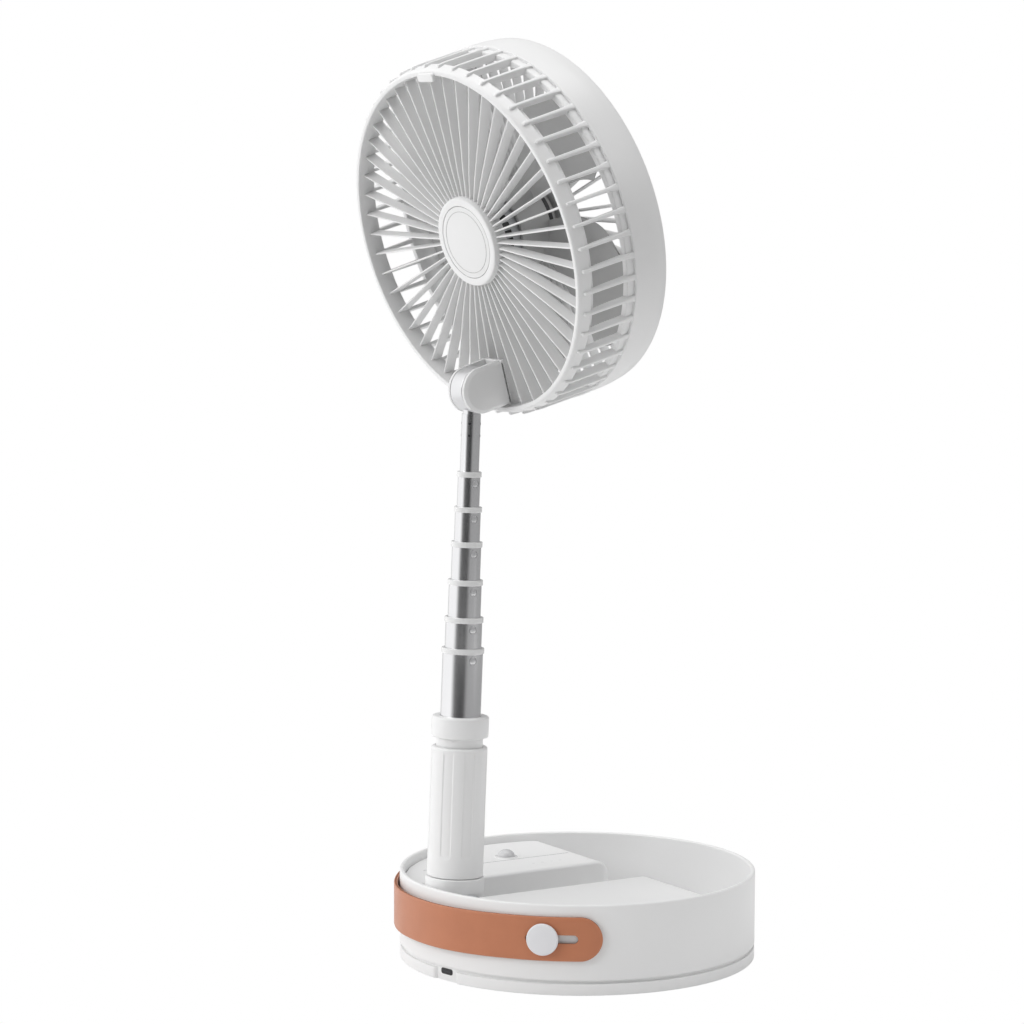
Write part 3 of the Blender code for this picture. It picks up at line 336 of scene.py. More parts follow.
cellWrap = finish("cellWrap", (0.10, 0.28, 0.55), (0.08, 0.24, 0.48), 0.35)
copperWire = finish("copperWire", (0.72, 0.36, 0.20), (0.60, 0.28, 0.15), 0.35, metallic=1.0,
                    grain=2500.0, bump=0.5)
leather = leatherFinish("leather", (0.53, 0.195, 0.093), (0.45, 0.158, 0.073))
leatherEdge = finish("leatherEdge", (0.28, 0.10, 0.045), (0.22, 0.08, 0.035), 0.7)

keptFinish = {"steel": turnedSteel, "rubber": rubber, "board": boardGreen, "cell": cellWrap,
              "copper": copperWire, "grey_plastic": greyPlastic, "dark_plastic": darkPlastic,
              "white_plastic": whitePlastic, "satin_tube": satinSteel, "leather": leather}
slotOf = {part["node"]: part["material_slot"] for part in frame["record"]["subparts"]}
for nodeName, slotName in slotOf.items():
    nodeObject = bpy.data.objects[nodeName]
    nodeObject.data.materials.clear()
    nodeObject.data.materials.append(keptFinish[slotName])
print("materials made")


base = {"radius": 100.0, "wall": 2.6, "height": 50.3, "floor": 12.0, "underFloor": 10.0, "shellBottom": 9.0,
        "plinthTop": 7.1, "grooveTop": 8.7, "grooveRadius": 98.3, "plateBottom": 0.8, "spigot": 97.1,
        "steps": 288, "notchFrom": -173.6, "notchTo": -163.8, "portAngle": -168.7, "portHeight": 6.0}


def makeBaseShell():
    inner = base["radius"] - base["wall"]
    corners = [(0, base["floor"]), (inner, base["floor"]), (inner, base["height"]),
               (base["radius"], base["height"]), (base["radius"], base["shellBottom"]),
               (inner + 0.2, base["shellBottom"]), (inner, base["underFloor"]), (0, base["underFloor"])]
    turnedPiece("baseShell", corners, [0, 2.2, 1.1, 1.2, 0.5, 0, 0, 0], world, "base", whitePlastic,
                "white_plastic", base["steps"], ring=False, replaces=["base_shell"])


def makeBottomPlate():
    # the plinth's radius falls to the groove's wherever the port's notch is
    corners = [(0, 3.0), (94.7, 3.0), (94.7, 9.7), (base["spigot"], 9.7), (base["spigot"], base["grooveTop"]),
               (base["grooveRadius"], base["grooveTop"]), (base["grooveRadius"], base["plinthTop"]),
               (99.9, base["plinthTop"]), (99.9, 0.8), (98.4, base["plateBottom"]), (0, base["plateBottom"])]
    profile = roundOff(corners, [0, 0, 0, 0, 0, 0, 0.3, 0.6, 0.6, 0, 0], 4)
    steps = base["steps"] * 2
    points, faces = revolve(profile, steps, False)
    angle = np.degrees(np.arctan2(points[:, 1], points[:, 0]))
    into = np.clip(np.minimum(angle - base["notchFrom"], base["notchTo"] - angle) / 0.6 + 0.5, 0, 1)
    radius = np.hypot(points[:, 0], points[:, 1])
    limit = np.minimum(radius, base["grooveRadius"])
    scale = np.where(radius > 0, (radius + (limit - radius) * into) / np.maximum(radius, 1e-9), 1)
    points[:, :2] *= scale[:, None]
    addPiece("bottomPlate", points, faces, world, "base", whitePlastic, "white_plastic", ["bottom_plate"])
    angle = math.radians(base["portAngle"])
    outward = (math.cos(angle), math.sin(angle), 0)
    port = aim(world, (98.3 * outward[0], 98.3 * outward[1], base["portHeight"]), outward)
    frameRing = plate(roundedRectangle(3.4, 9.2, 1.6), -6.0, 0.12, 0.1)
    addPiece("portFrame", *frameRing, port, "base", darkPlastic, "dark_plastic", ["usb_socket"])
    mouth = plate(roundedRectangle(2.7, 8.5, 1.3), -5.0, 0.2, 0.05)
    addPiece("portMouth", *mouth, port, "base", darkPlastic, "dark_plastic")
    tongue = plate(roundedRectangle(0.6, 5.6, 0.2), -5.0, 0.26, 0.05)
    addPiece("portTongue", *tongue, port, "base", rubber, "dark_plastic")


platform = {"top": 46.0, "bottom": 12.3, "near": 22.5, "end": 39.0, "corner": 8.0, "radius": 97.0,
            "slopeStart": 28.0, "slopeDrop": 6.5, "edge": 2.0, "spineY": 56.0, "spineFrom": -50.0,
            "spineTo": 8.0}


def platformOutline(side, distance):
    # straight beside the channel, the wall's arc, the straight end and its round corner
    radius = platform["radius"] - distance
    near, end = platform["near"] + distance, platform["end"] - distance
    corner = max(platform["corner"] - distance, 1.0)
    arcStart, arcEnd = math.acos(end / radius), math.pi - math.asin(near / radius)
    turn = np.linspace(-math.pi / 2, 0, 12)
    rounded = np.column_stack([end - corner + corner * np.cos(turn), near + corner + corner * np.sin(turn)])
    side1 = np.column_stack([np.full(26, end),
                             np.linspace(near + corner, radius * math.sin(arcStart), 28)[1:-1]])
    angle = np.linspace(arcStart, arcEnd, 110)
    wall = radius * np.column_stack([np.cos(angle), np.sin(angle)])
    side2 = np.column_stack([np.linspace(radius * math.cos(arcEnd), end - corner, 82)[1:-1],
                             np.full(80, near)])
    outline = np.concatenate([rounded, side1, wall, side2])
    return outline if side > 0 else outline * (1, -1)


def makePlatform(name, side, node):
    # loops up the wall, round the top edge, then shrinking onto a spine; the end slopes down
    edge = platform["edge"]
    quarter = np.linspace(0, math.pi / 2, 7)
    levels = [(0.0, platform["bottom"]), (0.0, platform["top"] - platform["slopeDrop"] - edge - 1.0)]
    levels += [(edge * (1 - math.cos(a)), platform["top"] - edge + edge * math.sin(a)) for a in quarter]
    loops = []
    for distance, height in levels:
        outline = platformOutline(side, distance)
        loops.append(np.column_stack([outline, np.full(len(outline), height)]))
    rim = loops[-1]
    spine = np.column_stack([np.clip(rim[:, 0], platform["spineFrom"], platform["spineTo"]),
                             np.full(len(rim), side * platform["spineY"]), rim[:, 2]])
    for share in np.linspace(0, 1, 14)[1:]:
        loops.append(rim * (1 - share) + spine * share)
    points = np.concatenate(loops)
    past = np.clip((points[:, 0] - platform["slopeStart"]) / (platform["end"] - platform["slopeStart"]), 0, 1)
    points[:, 2] -= np.where(points[:, 2] > platform["top"] - edge - 0.5,
                             platform["slopeDrop"] * past ** 1.7, 0)
    count = len(rim)
    faces = gridFaces(len(loops), count, False, True).tolist() + [list(range(count))]
    addPiece(name, points, faces, world, "base", whitePlastic, "white_plastic", [node], sharp=50)


panel = {"grooveY": 52.0, "grooveFrom": -70.0, "grooveTo": 27.0, "grooveWidth": 0.55, "lightY": 37.0,
         "lightPitch": 6.0, "lightFirst": -6.0, "lightRadius": 0.85, "buttonX": -10.0, "buttonY": 60.5}


def makePanel():
    # seam line drawn as a raised strip of painted groove shade, light windows and the domed button with its
    # well ring
    length = panel["grooveTo"] - panel["grooveFrom"]
    middle = (panel["grooveTo"] + panel["grooveFrom"]) / 2
    line = (roundedRectangle(length, panel["grooveWidth"], panel["grooveWidth"] * 0.49)
            + (middle, panel["grooveY"]))
    addPiece("panelSeamShade", *plate(line, platform["top"] - 0.5, platform["top"] + 0.05, 0.03), world, "base",
             grooveShade, "white_plastic")
    windows = [plate(circleOutline(panel["lightRadius"], 20, (panel["lightFirst"] + panel["lightPitch"] * i,
                                                              panel["lightY"])),
                     platform["top"] - 0.5, platform["top"] + 0.06, 0.04) for i in range(4)]
    addPiece("lightWindows", *mergeParts(windows), world, "base", lightWindow, "grey_plastic",
             ["indicator_lights"])
    well = aim(world, (panel["buttonX"], panel["buttonY"], platform["top"]), (0, 0, 1), (1, 0, 0))
    turnedPiece("buttonCollar", [(5.3, -0.4), (6.6, -0.4), (6.6, 0.35), (5.3, 0.6)], [0, 0, 0.3, 0.2], well,
                "base", glossWhite, "white_plastic", 48)
    domeFoot = [(0, -3.8), (7.4, -3.8), (7.4, -2.3), (5.0, -2.3)]
    rise = [(5.0 * math.cos(a), 0.4 + 3.9 * math.sin(a)) for a in np.linspace(0, math.pi / 2, 14)]
    points, faces = revolve(domeFoot + rise[:-1] + [(0, 4.3)], 64, False)
    addPiece("buttonDome", points, faces, well, "button", buttonPlastic, "grey_plastic", ["power_button"])


strap = {"inner": 100.3, "standOff": 2.6, "height": 24.0, "middle": 32.0, "thickness": 2.0, "end": 65.2,
         "stud": 47.1, "slotHalf": 2.3, "slotFrom": 41.6, "slotTo": 57.8, "edge": 0.5}


def strapRadius(degrees):
    # against the wall beyond the studs, bowed out across the handle by a smooth step
    share = np.clip((strap["stud"] - 6.0 - np.abs(degrees)) / (strap["stud"] - 14.0), 0, 1)
    return strap["inner"] + strap["standOff"] * share * share * (3 - 2 * share)


def makeStrap():
    # two skins on a grid along and across the band; the middle columns part to leave the slots open
    along = np.linspace(-1, 1, 241)
    ends = np.array([strap["slotFrom"], strap["slotTo"]])
    stations = np.unique(np.round(np.concatenate([along * strap["end"], ends, -ends,
                                                  strap["end"] - np.geomspace(0.05, 6, 14),
                                                  -strap["end"] + np.geomspace(0.05, 6, 14)]), 4))
    fromEnd = np.radians(strap["end"] - np.abs(stations)) * strap["inner"]
    roundEnd = np.clip(1 - fromEnd / (strap["height"] / 2), 0, 1)
    half = strap["height"] / 2 * np.sqrt(np.clip(1 - roundEnd ** 2, 0.0004, 1))
    middle = (strap["slotFrom"] + strap["slotTo"]) / 2
    reach = (strap["slotTo"] - strap["slotFrom"]) / 2
    inSlot = 1 - np.abs((np.abs(stations) - middle) / reach)
    tipShare = np.clip(inSlot * reach * math.radians(1) * strap["inner"] / strap["slotHalf"], 0, 1)
    slot = strap["slotHalf"] * np.sqrt(np.clip(1 - (1 - tipShare) ** 2, 0, 1))
    gap = np.maximum(slot, 0.0)
    share = np.array([-1, -0.985, -0.95, -0.75, -0.45, -0.2, 0])
    lower = -gap[:, None] + share[None, :] * (half - gap)[:, None]
    heights = np.concatenate([lower, -lower[:, ::-1]], 1)
    bulge = np.zeros((len(stations), 14))
    bulge[:, [0, 13]], bulge[:, [1, 12]] = 0.9 * strap["edge"], 0.25 * strap["edge"]
    bulge[:, [6, 7]] = (0.4 * strap["edge"] * (slot > 0))[:, None]
    turn = math.pi + np.radians(stations)
    inner = strapRadius(stations)[:, None] + bulge
    outer = strapRadius(stations)[:, None] + strap["thickness"] - bulge
    skins = []
    for radius in (outer, inner):
        skins.append(np.stack([radius * np.cos(turn)[:, None], radius * np.sin(turn)[:, None],
                               strap["middle"] + heights], -1))
    rows, columns = heights.shape
    mask = np.ones((rows - 1, columns - 1), bool)
    between = np.abs(stations[:-1] + stations[1:]) / 2
    mask[:, 6] = (between < strap["slotFrom"]) | (between > strap["slotTo"])
    points, faces = twoSkins(skins[0], skins[1], mask)
    band = addPiece("carryStrap", points, faces, world, "base", leather, "leather", ["strap"], sharp=50)
    band.data.materials.append(leatherEdge)
    markEdges(band)


def twoSkins(outer, inner, mask):
    # outer and inner grids joined by walls wherever a filled cell has no filled neighbour
    rows, columns = outer.shape[:2]
    index = np.arange(rows * columns).reshape(rows, columns)
    a, b, c, d = index[:-1, :-1], index[:-1, 1:], index[1:, 1:], index[1:, :-1]
    back = rows * columns
    padded = np.pad(mask, 1)
    quads = [np.stack([a, b, c, d], -1)[mask], np.stack([d, c, b, a], -1)[mask] + back]
    for shifted, p, q in ((padded[1:-1, :-2], a, d), (padded[1:-1, 2:], c, b), (padded[:-2, 1:-1], b, a),
                          (padded[2:, 1:-1], d, c)):
        openCells = mask & ~shifted
        quads.append(np.stack([p, q, q + back, p + back], -1)[openCells])
    return np.concatenate([outer.reshape(-1, 3), inner.reshape(-1, 3)]), np.concatenate(quads).tolist()


def markEdges(band):
    # the cut edges of the leather are darker: faces that look up, down or along rather than outwards
    normals = np.empty(len(band.data.polygons) * 3)
    centres = np.empty_like(normals)
    band.data.polygons.foreach_get("normal", normals)
    band.data.polygons.foreach_get("center", centres)
    normals, centres = normals.reshape(-1, 3), centres.reshape(-1, 3)
    outward = centres[:, :2] / np.linalg.norm(centres[:, :2], axis=1)[:, None]
    facing = np.abs((normals[:, :2] * outward).sum(1))
    band.data.polygons.foreach_set("material_index", (facing < 0.35).astype(np.int32))


def makeStuds():
    for name, node, side in (("studFront", "stud_front", 1), ("studBack", "stud_back", -1)):
        angle = math.pi + side * math.radians(strap["stud"])
        outward = (math.cos(angle), math.sin(angle), 0)
        place = aim(world, (0, 0, strap["middle"]), outward)
        cap = float(strapRadius(strap["stud"])) + strap["thickness"] + 0.5
        corners = [(0, 97.6), (2.0, 97.6), (2.0, cap), (8.2, cap), (8.7, cap + 0.5), (8.7, cap + 2.0),
                   (0, cap + 2.6)]
        turnedPiece(name, corners, [0, 0, 0, 0.2, 0.3, 0.8, 0], place, "base", studPlastic,
                    "white_plastic", 72,
                    ring=False, replaces=[node])


makeBaseShell()
makeBottomPlate()
makePlatform("controlCover", 1, "control_housing")
makePlatform("batteryCover", -1, "battery_housing")
makePanel()
makeStrap()
makeStuds()
print("base made")


tubes = {"radii": [5.2, 6.15, 7.05, 8.0, 9.0, 10.05, 11.1],
         "tops": [276.3, 244.8, 225.6, 206.5, 185.6, 165.1, 148.1],
         "slides": [13.2, 15.9, 15.8, 17.6, 17.2, 13.7, 34.3], "wall": 0.4, "footLevel": 13.0,
         "ringHeight": 3.0,
         "ringWall": 0.6, "columnBore": 11.6, "pegRadius": 2.0}
sleeve = {"bore": 13.1, "radius": 15.5, "start": 21.8, "top": 93.6, "flutes": 8, "fluteAt": -98.0,
          "depth": 0.40, "fluteStart": 32.3,
          "fluteEnd": 91.5}


def makePoleFoot():
    ball = [(15.9 * math.sin(a), -15.9 * math.cos(a)) for a in np.linspace(0, math.pi / 2, 22)]
    ball[0] = (0, -15.9)
    upper = roundOff([(15.9, 0), (15.9, 12.0), (16.4, 13.4), (16.4, 21.5), (13.1, 21.5), (13.1, 10.0),
                      (0, 10.0)],
                     [0, 0.8, 0.8, 0.7, 0.2, 0, 0], 5)
    points, faces = revolve(np.concatenate([ball[:-1], upper]), 96, False)
    addPiece("poleKnuckle", points, faces, pole, "column", whitePlastic, "white_plastic", ["pole_foot"])


def makeColumn():
    corners = [(11.6, 10.3), (12.8, 10.3), (12.8, 98.9), (15.75, 98.9), (15.75, 110.5), (11.25, 110.5),
               (11.25, 108.9), (11.6, 108.9)]
    turnedPiece("poleColumn", corners, [0, 0, 0.4, 0.9, 1.4, 0.5, 0, 0], pole, "column", whitePlastic,
                "white_plastic", 96, replaces=["pole_column"])


def makeSleeve():
    # radius = sleeve - depth * flute(angle) * window(height), both smooth steps
    profile = roundOff([(sleeve["bore"], sleeve["start"]), (sleeve["radius"], sleeve["start"]),
                        (sleeve["radius"], sleeve["top"]), (sleeve["bore"], sleeve["top"])],
                        [0.3, 0.7, 1.2, 0.3],
                       5, closed=True)
    fill = np.linspace(sleeve["start"] + 1.0, sleeve["top"] - 1.4, 70)
    cut = int(np.argmax(profile[:, 1] > 50))
    profile = np.concatenate([profile[:cut], np.column_stack([np.full(70, sleeve["radius"]), fill]),
                              profile[cut:]])
    steps = 360
    points, faces = revolve(profile, steps, True)
    angle = np.arctan2(points[:, 1], points[:, 0]) - math.radians(sleeve["fluteAt"])
    wave = np.cos(angle * sleeve["flutes"])
    across = np.clip((wave - 0.07) / 0.26 + 0.5, 0, 1)
    across = across * across * (3 - 2 * across)
    away = np.arccos(np.clip(wave, -1, 1)) / (math.pi / 2)            # 0 in a flute's middle, 1 at its edge
    start = sleeve["fluteStart"] + 1.6 * np.clip(away, 0, 1) ** 2
    window = (np.clip((points[:, 2] - start) / 1.2, 0, 1)
              * np.clip((sleeve["fluteEnd"] - points[:, 2]) / 0.8, 0, 1))
    outside = np.hypot(points[:, 0], points[:, 1]) > sleeve["radius"] - 0.05
    radius = np.hypot(points[:, 0], points[:, 1])
    scale = 1 - np.where(outside, sleeve["depth"] * across * window, 0) / radius
    points[:, :2] *= scale[:, None]
    addPiece("gripSleeve", points, faces, pole, "sleeve", whitePlastic, "white_plastic", ["lock_sleeve"],
             sharp=60)


def makeTubes():
    for i, (radius, top) in enumerate(zip(tubes["radii"], tubes["tops"])):
        number = i + 1
        bore = radius - tubes["wall"]
        outer = tubes["radii"][i + 1] - tubes["wall"] if i < 6 else tubes["columnBore"]
        foot = tubes["footLevel"] + sum(tubes["slides"][i:])
        end = top if i == 0 else top - 0.95
        corners = [(bore, foot), (outer - 0.12, foot), (outer - 0.12, foot + 4.0), (radius, foot + 4.6),
                   (radius, end), (bore, end)]
        turnedPiece("poleTube%d" % number, corners, [0] * 6, pole, "tube_%d" % number, satinSteel,
                    "satin_tube",
                    80, replaces=["tube_%d" % number])
        if i == 0:
            continue
        inner = tubes["radii"][i - 1] + 0.15
        skin = radius + tubes["ringWall"]
        corners = [(inner, top), (skin, top), (skin, top - tubes["ringHeight"]),
                   (radius + 0.15, top - tubes["ringHeight"]), (radius + 0.15, top - 0.8), (inner, top - 0.8)]
        turnedPiece("tubeRing%d" % number, corners, [0.15, 0.35, 0.25, 0, 0, 0], pole, "tube_%d" % number,
                    glossWhite, "white_plastic", 80, replaces=["ring_%d" % number])
        turn = math.radians(-90 + (5.7 if i == 1 else 0))
        outward = (math.cos(turn), math.sin(turn), 0)
        place = aim(pole, (0, 0, top - tubes["ringHeight"] - 3.4), np.array(outward))
        corners = [(0, radius - 0.35), (tubes["pegRadius"], radius - 0.35),
                   (tubes["pegRadius"], radius - 0.05),
                   (0, radius + 0.12)]        # low enough to pass under the next collar
        turnedPiece("tubePeg%d" % number, corners, [0, 0, 0.2, 0], place, "tube_%d" % number, satinSteel,
                    "satin_tube", 28, ring=False)
        # painted shade: a grey ring for the shadow in the gap round the peg
        corners = [(tubes["pegRadius"] + 0.02, radius - 0.5), (tubes["pegRadius"] + 0.3, radius - 0.5),
                   (tubes["pegRadius"] + 0.3, radius - 0.02), (tubes["pegRadius"] + 0.02, radius - 0.02)]
        turnedPiece("pegGapShade%d" % number, corners, [0] * 4, place, "tube_%d" % number, grooveShade,
                    "satin_tube", 28)
    # painted shade: dark dots on the top tube stand in for the shadow inside its holes
    dots = []
    for angle in (-135, -45, 45, 135):
        turn = math.radians(angle)
        for level in (-18.4, -25.0):
            origin, axes = aim(neck, (0, 0, level), (math.cos(turn), math.sin(turn), 0))
            points, faces = plate(circleOutline(0.75, 16), 4.6, 5.26, 0.05)
            dots.append((points @ axes + origin, faces))
    addPiece("tubeHoleShade", *mergeParts(dots), world, "tube_1", darkPlastic, "dark_plastic")


makePoleFoot()
makeColumn()
makeSleeve()
makeTubes()
print("pole made")


neckSizes = {"radius": 12.65, "halfWidth": 5.2, "ear": 3.3, "gap": 0.3, "offset": 1.5}
rim = {"back": 13.4, "depth": 59.3, "radius": 95.5, "head": 100.0, "spokeBack": 17.4, "spokeDepth": 7.0,
       "spokes": 50, "hub": 25.0, "hubStand": 2.2, "badge": 20.0, "ringInner": 93.0, "bandEnd": 20.4,
       "slatEnd": 49.4,
       "spokeThickness": 1.5, "slatThickness": 1.7}


def makeNeck():
    across = aim(neck, (neckSizes["offset"], 0, 0), (0, 1, 0))
    half = neckSizes["halfWidth"]
    turnedPiece("neckBarrel", [(2.8, -half), (12.65, -half), (12.65, half), (2.8, half)], [0, 0.6, 0.6, 0],
                across, "neck", barrelMetal, "satin_tube", 96, replaces=["neck_barrel"])
    turnedPiece("neckSpigot", [(0, -22.2), (4.65, -22.2), (4.65, -6.0), (0, -6.0)], [0, 0.4, 0, 0], neck,
                "neck",
                satinSteel, "satin_tube", 40, ring=False)
    earIn = half + neckSizes["gap"]
    earOut = earIn + neckSizes["ear"]
    turn = np.linspace(math.pi / 2, 1.5 * math.pi, 48)
    bend = np.column_stack([12.65 * np.cos(turn), 12.65 * np.sin(turn)])
    side = roundOff([(0, -12.65), (17.1, -12.65), (17.1, 12.65), (0, 12.65)], [0, 1.0, 1.2, 0], 4)
    ear = np.concatenate([bend[1:-1], side])
    back = roundedRectangle(2.3, 2 * earOut, 0.4) + (15.95, 0)
    parts = []
    for sign in (1, -1):
        points, faces = plate(ear, earIn, earOut, 0.3, chamfer=(2.0, 1.5))
        parts.append((np.column_stack([points[:, 0], sign * points[:, 2], points[:, 1]]), faces))
    points, faces = plate(back, -8.6, 12.4, 0.3)
    parts.append((points, faces))
    addPiece("neckEars", *mergeParts(parts), head, "head", glossWhite, "white_plastic",
             ["neck_yoke", "tilt_pin"],
             sharp=24)


makeNeck()
print("neck made")


def barSection(lowHalf, highHalf, low, high, soft=0.4):
    # superellipse between two levels, drawn in from one half width to the other
    t = np.linspace(0, fullTurn, 25)[:-1]
    across = np.sign(np.cos(t)) * np.abs(np.cos(t)) ** soft
    z = np.sign(np.sin(t)) * np.abs(np.sin(t)) ** soft
    half = (lowHalf + highHalf) / 2 + (highHalf - lowHalf) / 2 * z
    return half * across, (low + high) / 2 + (high - low) / 2 * z


def radialBar(name, stations, thickness, material, body, replaces, count):
    # sections across a spoke that runs outwards along X: (radius, lowest, highest) stations
    sections = []
    for radius, low, high, width in stations:
        y, z = barSection(thickness * width * 0.30, thickness * width * 0.5, low, high)
        sections.append(np.column_stack([np.full(len(y), radius), y, z]))
    points, faces = spokesAround(sections, count)
    return addPiece(name, points, faces, headAxis, body, material, "white_plastic", replaces, sharp=70)


def makeRearCage():
    back, front = rim["spokeBack"], rim["spokeBack"] + rim["spokeDepth"]
    face = back - rim["hubStand"]
    turnedPiece("rearHub", [(0, face + 1.1), (rim["badge"] + 0.3, face + 1.1), (rim["badge"] + 0.3, face),
                            (rim["hub"] - 0.6, face), (rim["hub"], back + 0.5), (rim["hub"], front),
                            (0, front)],
                [0, 0, 0.3, 1.0, 0.4, 0.4, 0], headAxis, "head", whitePlastic, "white_plastic", 128,
                ring=False,
                replaces=["rear_cage"])
    ring = rim["ringInner"]
    corners = [(ring, front), (ring, rim["back"]), (rim["radius"], rim["back"]), (96.4, rim["back"] + 1.6),
               (97.8, rim["bandEnd"]), (95.2, rim["bandEnd"] + 0.4), (94.6, front)]
    turnedPiece("rearRing", corners, [0.3, 0.8, 0.8, 0.9, 0.5, 0.4, 0.3], headAxis, "head",
                whitePlastic, "white_plastic", 256)
    radialBar("rearSpokes", [(rim["hub"] - 1.0, back + 0.5, front - 0.5, 0.95), (40.0, back, front, 1.0),
                             (70.0, back, front, 1.05), (ring - 3.0, back, front, 1.1),
                             (ring + 1.0, back, front, 1.15)],
              rim["spokeThickness"], whitePlastic, "head", (), rim["spokes"])
    half = rim["slatThickness"] / 2
    first, last = rim["bandEnd"] - 4.4, rim["slatEnd"] + 0.6
    stations = [(first, 96.4, 97.2, 0.55), (first + 0.2, 96.2, 98.0, 0.9), (first + 0.8, 96.0, 98.5, 1.1),
                (rim["bandEnd"] + 0.5, 95.2, 98.9, 1.1), (rim["bandEnd"] + 10.0, 94.8, 99.1, 1.2),
                (last - 7.0, 94.8, 99.4, 1.4), (last - 4.6, 94.8, 99.5, 1.6), (last - 3.6, 94.8, 99.5, 1.9),
                (last - 1.5, 94.8, 99.55, 2.0), (last - 0.5, 94.8, 99.6, 2.5), (last, 94.8, 99.65, 3.2)]
    sections = []
    for height, low, high, width in stations:
        y, x = barSection(half * width, half * width, low, high)
        sections.append(np.column_stack([x, y, np.full(len(y), height)]))
    points, faces = spokesAround(sections, rim["spokes"])
    addPiece("sideSlats", points, faces, headAxis, "head", whitePlastic, "white_plastic", sharp=70)
    corners = [(94.7, last - 4.8), (98.3, last - 4.8), (98.3, last - 0.25), (97.6, last - 0.25),
               (97.6, last + 6.0),
               (94.7, last + 6.0)]
    turnedPiece("slatHoop", corners, [0.3, 1.1, 0, 0, 0.3, 0.3], headAxis, "head", whitePlastic,
                "white_plastic",
                200)
    turnedPiece("rearLabel", [(0, face + 0.1), (rim["badge"], face + 0.1), (rim["badge"], face + 0.9),
                              (0, face + 0.9)], [0, 0.25, 0, 0], headAxis, "head", glossWhite,
                              "white_plastic", 96,
                ring=False, replaces=["rear_badge"])
    # painted shade: a grey ring for the shadow in the groove round the label
    turnedPiece("labelGrooveShade", [(17.0, face + 0.02), (17.3, face + 0.02), (17.3, face + 0.4),
                                (17.0, face + 0.4)],
                [0] * 4, headAxis, "head", shadeDarkenedGrey, "white_plastic", 96)
    tab = plate(roundedRectangle(4.6, 14.0, 2.0), rim["back"] - 1.9, rim["back"] + 0.6, 0.6)
    tab = (tab[0] - (rim["radius"] - 3.4, 0, 0), tab[1])
    addPiece("stowTab", *tab, headAxis, "head", whitePlastic, "white_plastic", ["stow_latch"])


def makeShroud():
    start, front = rim["slatEnd"] + 0.3, rim["back"] + rim["depth"]
    corners = [(98.0, start), (100.0, start), (99.85, front - 8.0), (98.9, front), (95.5, front),
               (95.5, front - 1.5), (98.0, front - 2.5)]
    turnedPiece("frontShroud", corners, [0.3, 0.7, 2.0, 1.6, 0.5, 0.3, 0.3], headAxis, "head", whitePlastic,
                "white_plastic", 288, replaces=["shroud"])


def makeFrontGrille():
    front = rim["back"] + rim["depth"] - 2.8
    back = front - 6.0
    turnedPiece("frontHub", [(0, front), (23.5, front), (rim["hub"], front - 1.0), (rim["hub"], back),
                             (0, back)],
                [0, 0.8, 0.8, 0.4, 0], headAxis, "head", whitePlastic, "white_plastic", 128, ring=False,
                replaces=["front_grille"])
    turnedPiece("frontHoop", [(93.0, front), (97.6, front), (97.6, back), (93.0, back)], [0.8, 0.3, 0.3, 0.6],
                headAxis, "head", whitePlastic, "white_plastic", 256)
    radialBar("frontSpokes", [(rim["hub"] - 1.0, back + 0.5, front - 0.6, 0.95),
                              (50.0, back, front - 0.3, 1.0),
                              (94.0, back, front - 0.3, 1.1)], rim["spokeThickness"], whitePlastic,
                              "head", (),
              rim["spokes"])
    turnedPiece("frontLabel", [(0, front + 0.3), (rim["badge"], front + 0.3), (rim["badge"], front + 1.1),
                               (0, front + 1.1)], [0, 0, 0.35, 0], headAxis, "head", glossWhite,
                               "white_plastic", 96,
                ring=False, replaces=["front_badge"])


motor = {"start": 24.7, "length": 21.3, "radius": 20.8, "slots": 30}


def makeMotor():
    end = motor["start"] + motor["length"]
    turnedPiece("motorCan", [(1.8, end), (motor["radius"], end), (motor["radius"], motor["start"]),
                             (1.8, motor["start"])], [0, 1.4, 0.8, 0], headAxis, "head", greyPlastic,
                             "grey_plastic",
                96, replaces=["motor_housing"])
    # painted shade: dark plates on the can stand in for the shadow inside its slots
    slots = []
    for k in range(motor["slots"]):
        turn = fullTurn * k / motor["slots"]
        origin, axes = aim(headAxis, (0, 0, motor["start"] + 4.6), (math.cos(turn), math.sin(turn), 0))
        points, faces = plate(roundedRectangle(4.6, 2.5, 0.5), 19.6, motor["radius"] + 0.1, 0.06)
        slots.append((points @ axes + origin, faces))
    addPiece("motorSlotShade", *mergeParts(slots), world, "head", darkPlastic, "dark_plastic")


rotor = {"start": 47.2, "length": 14.0, "hub": 24.0, "tip": 90.0, "blades": 5, "chord": 44.0, "sweep": 16.0,
         "rise": 20.0, "thickness": 1.4, "skirt": 11.2}


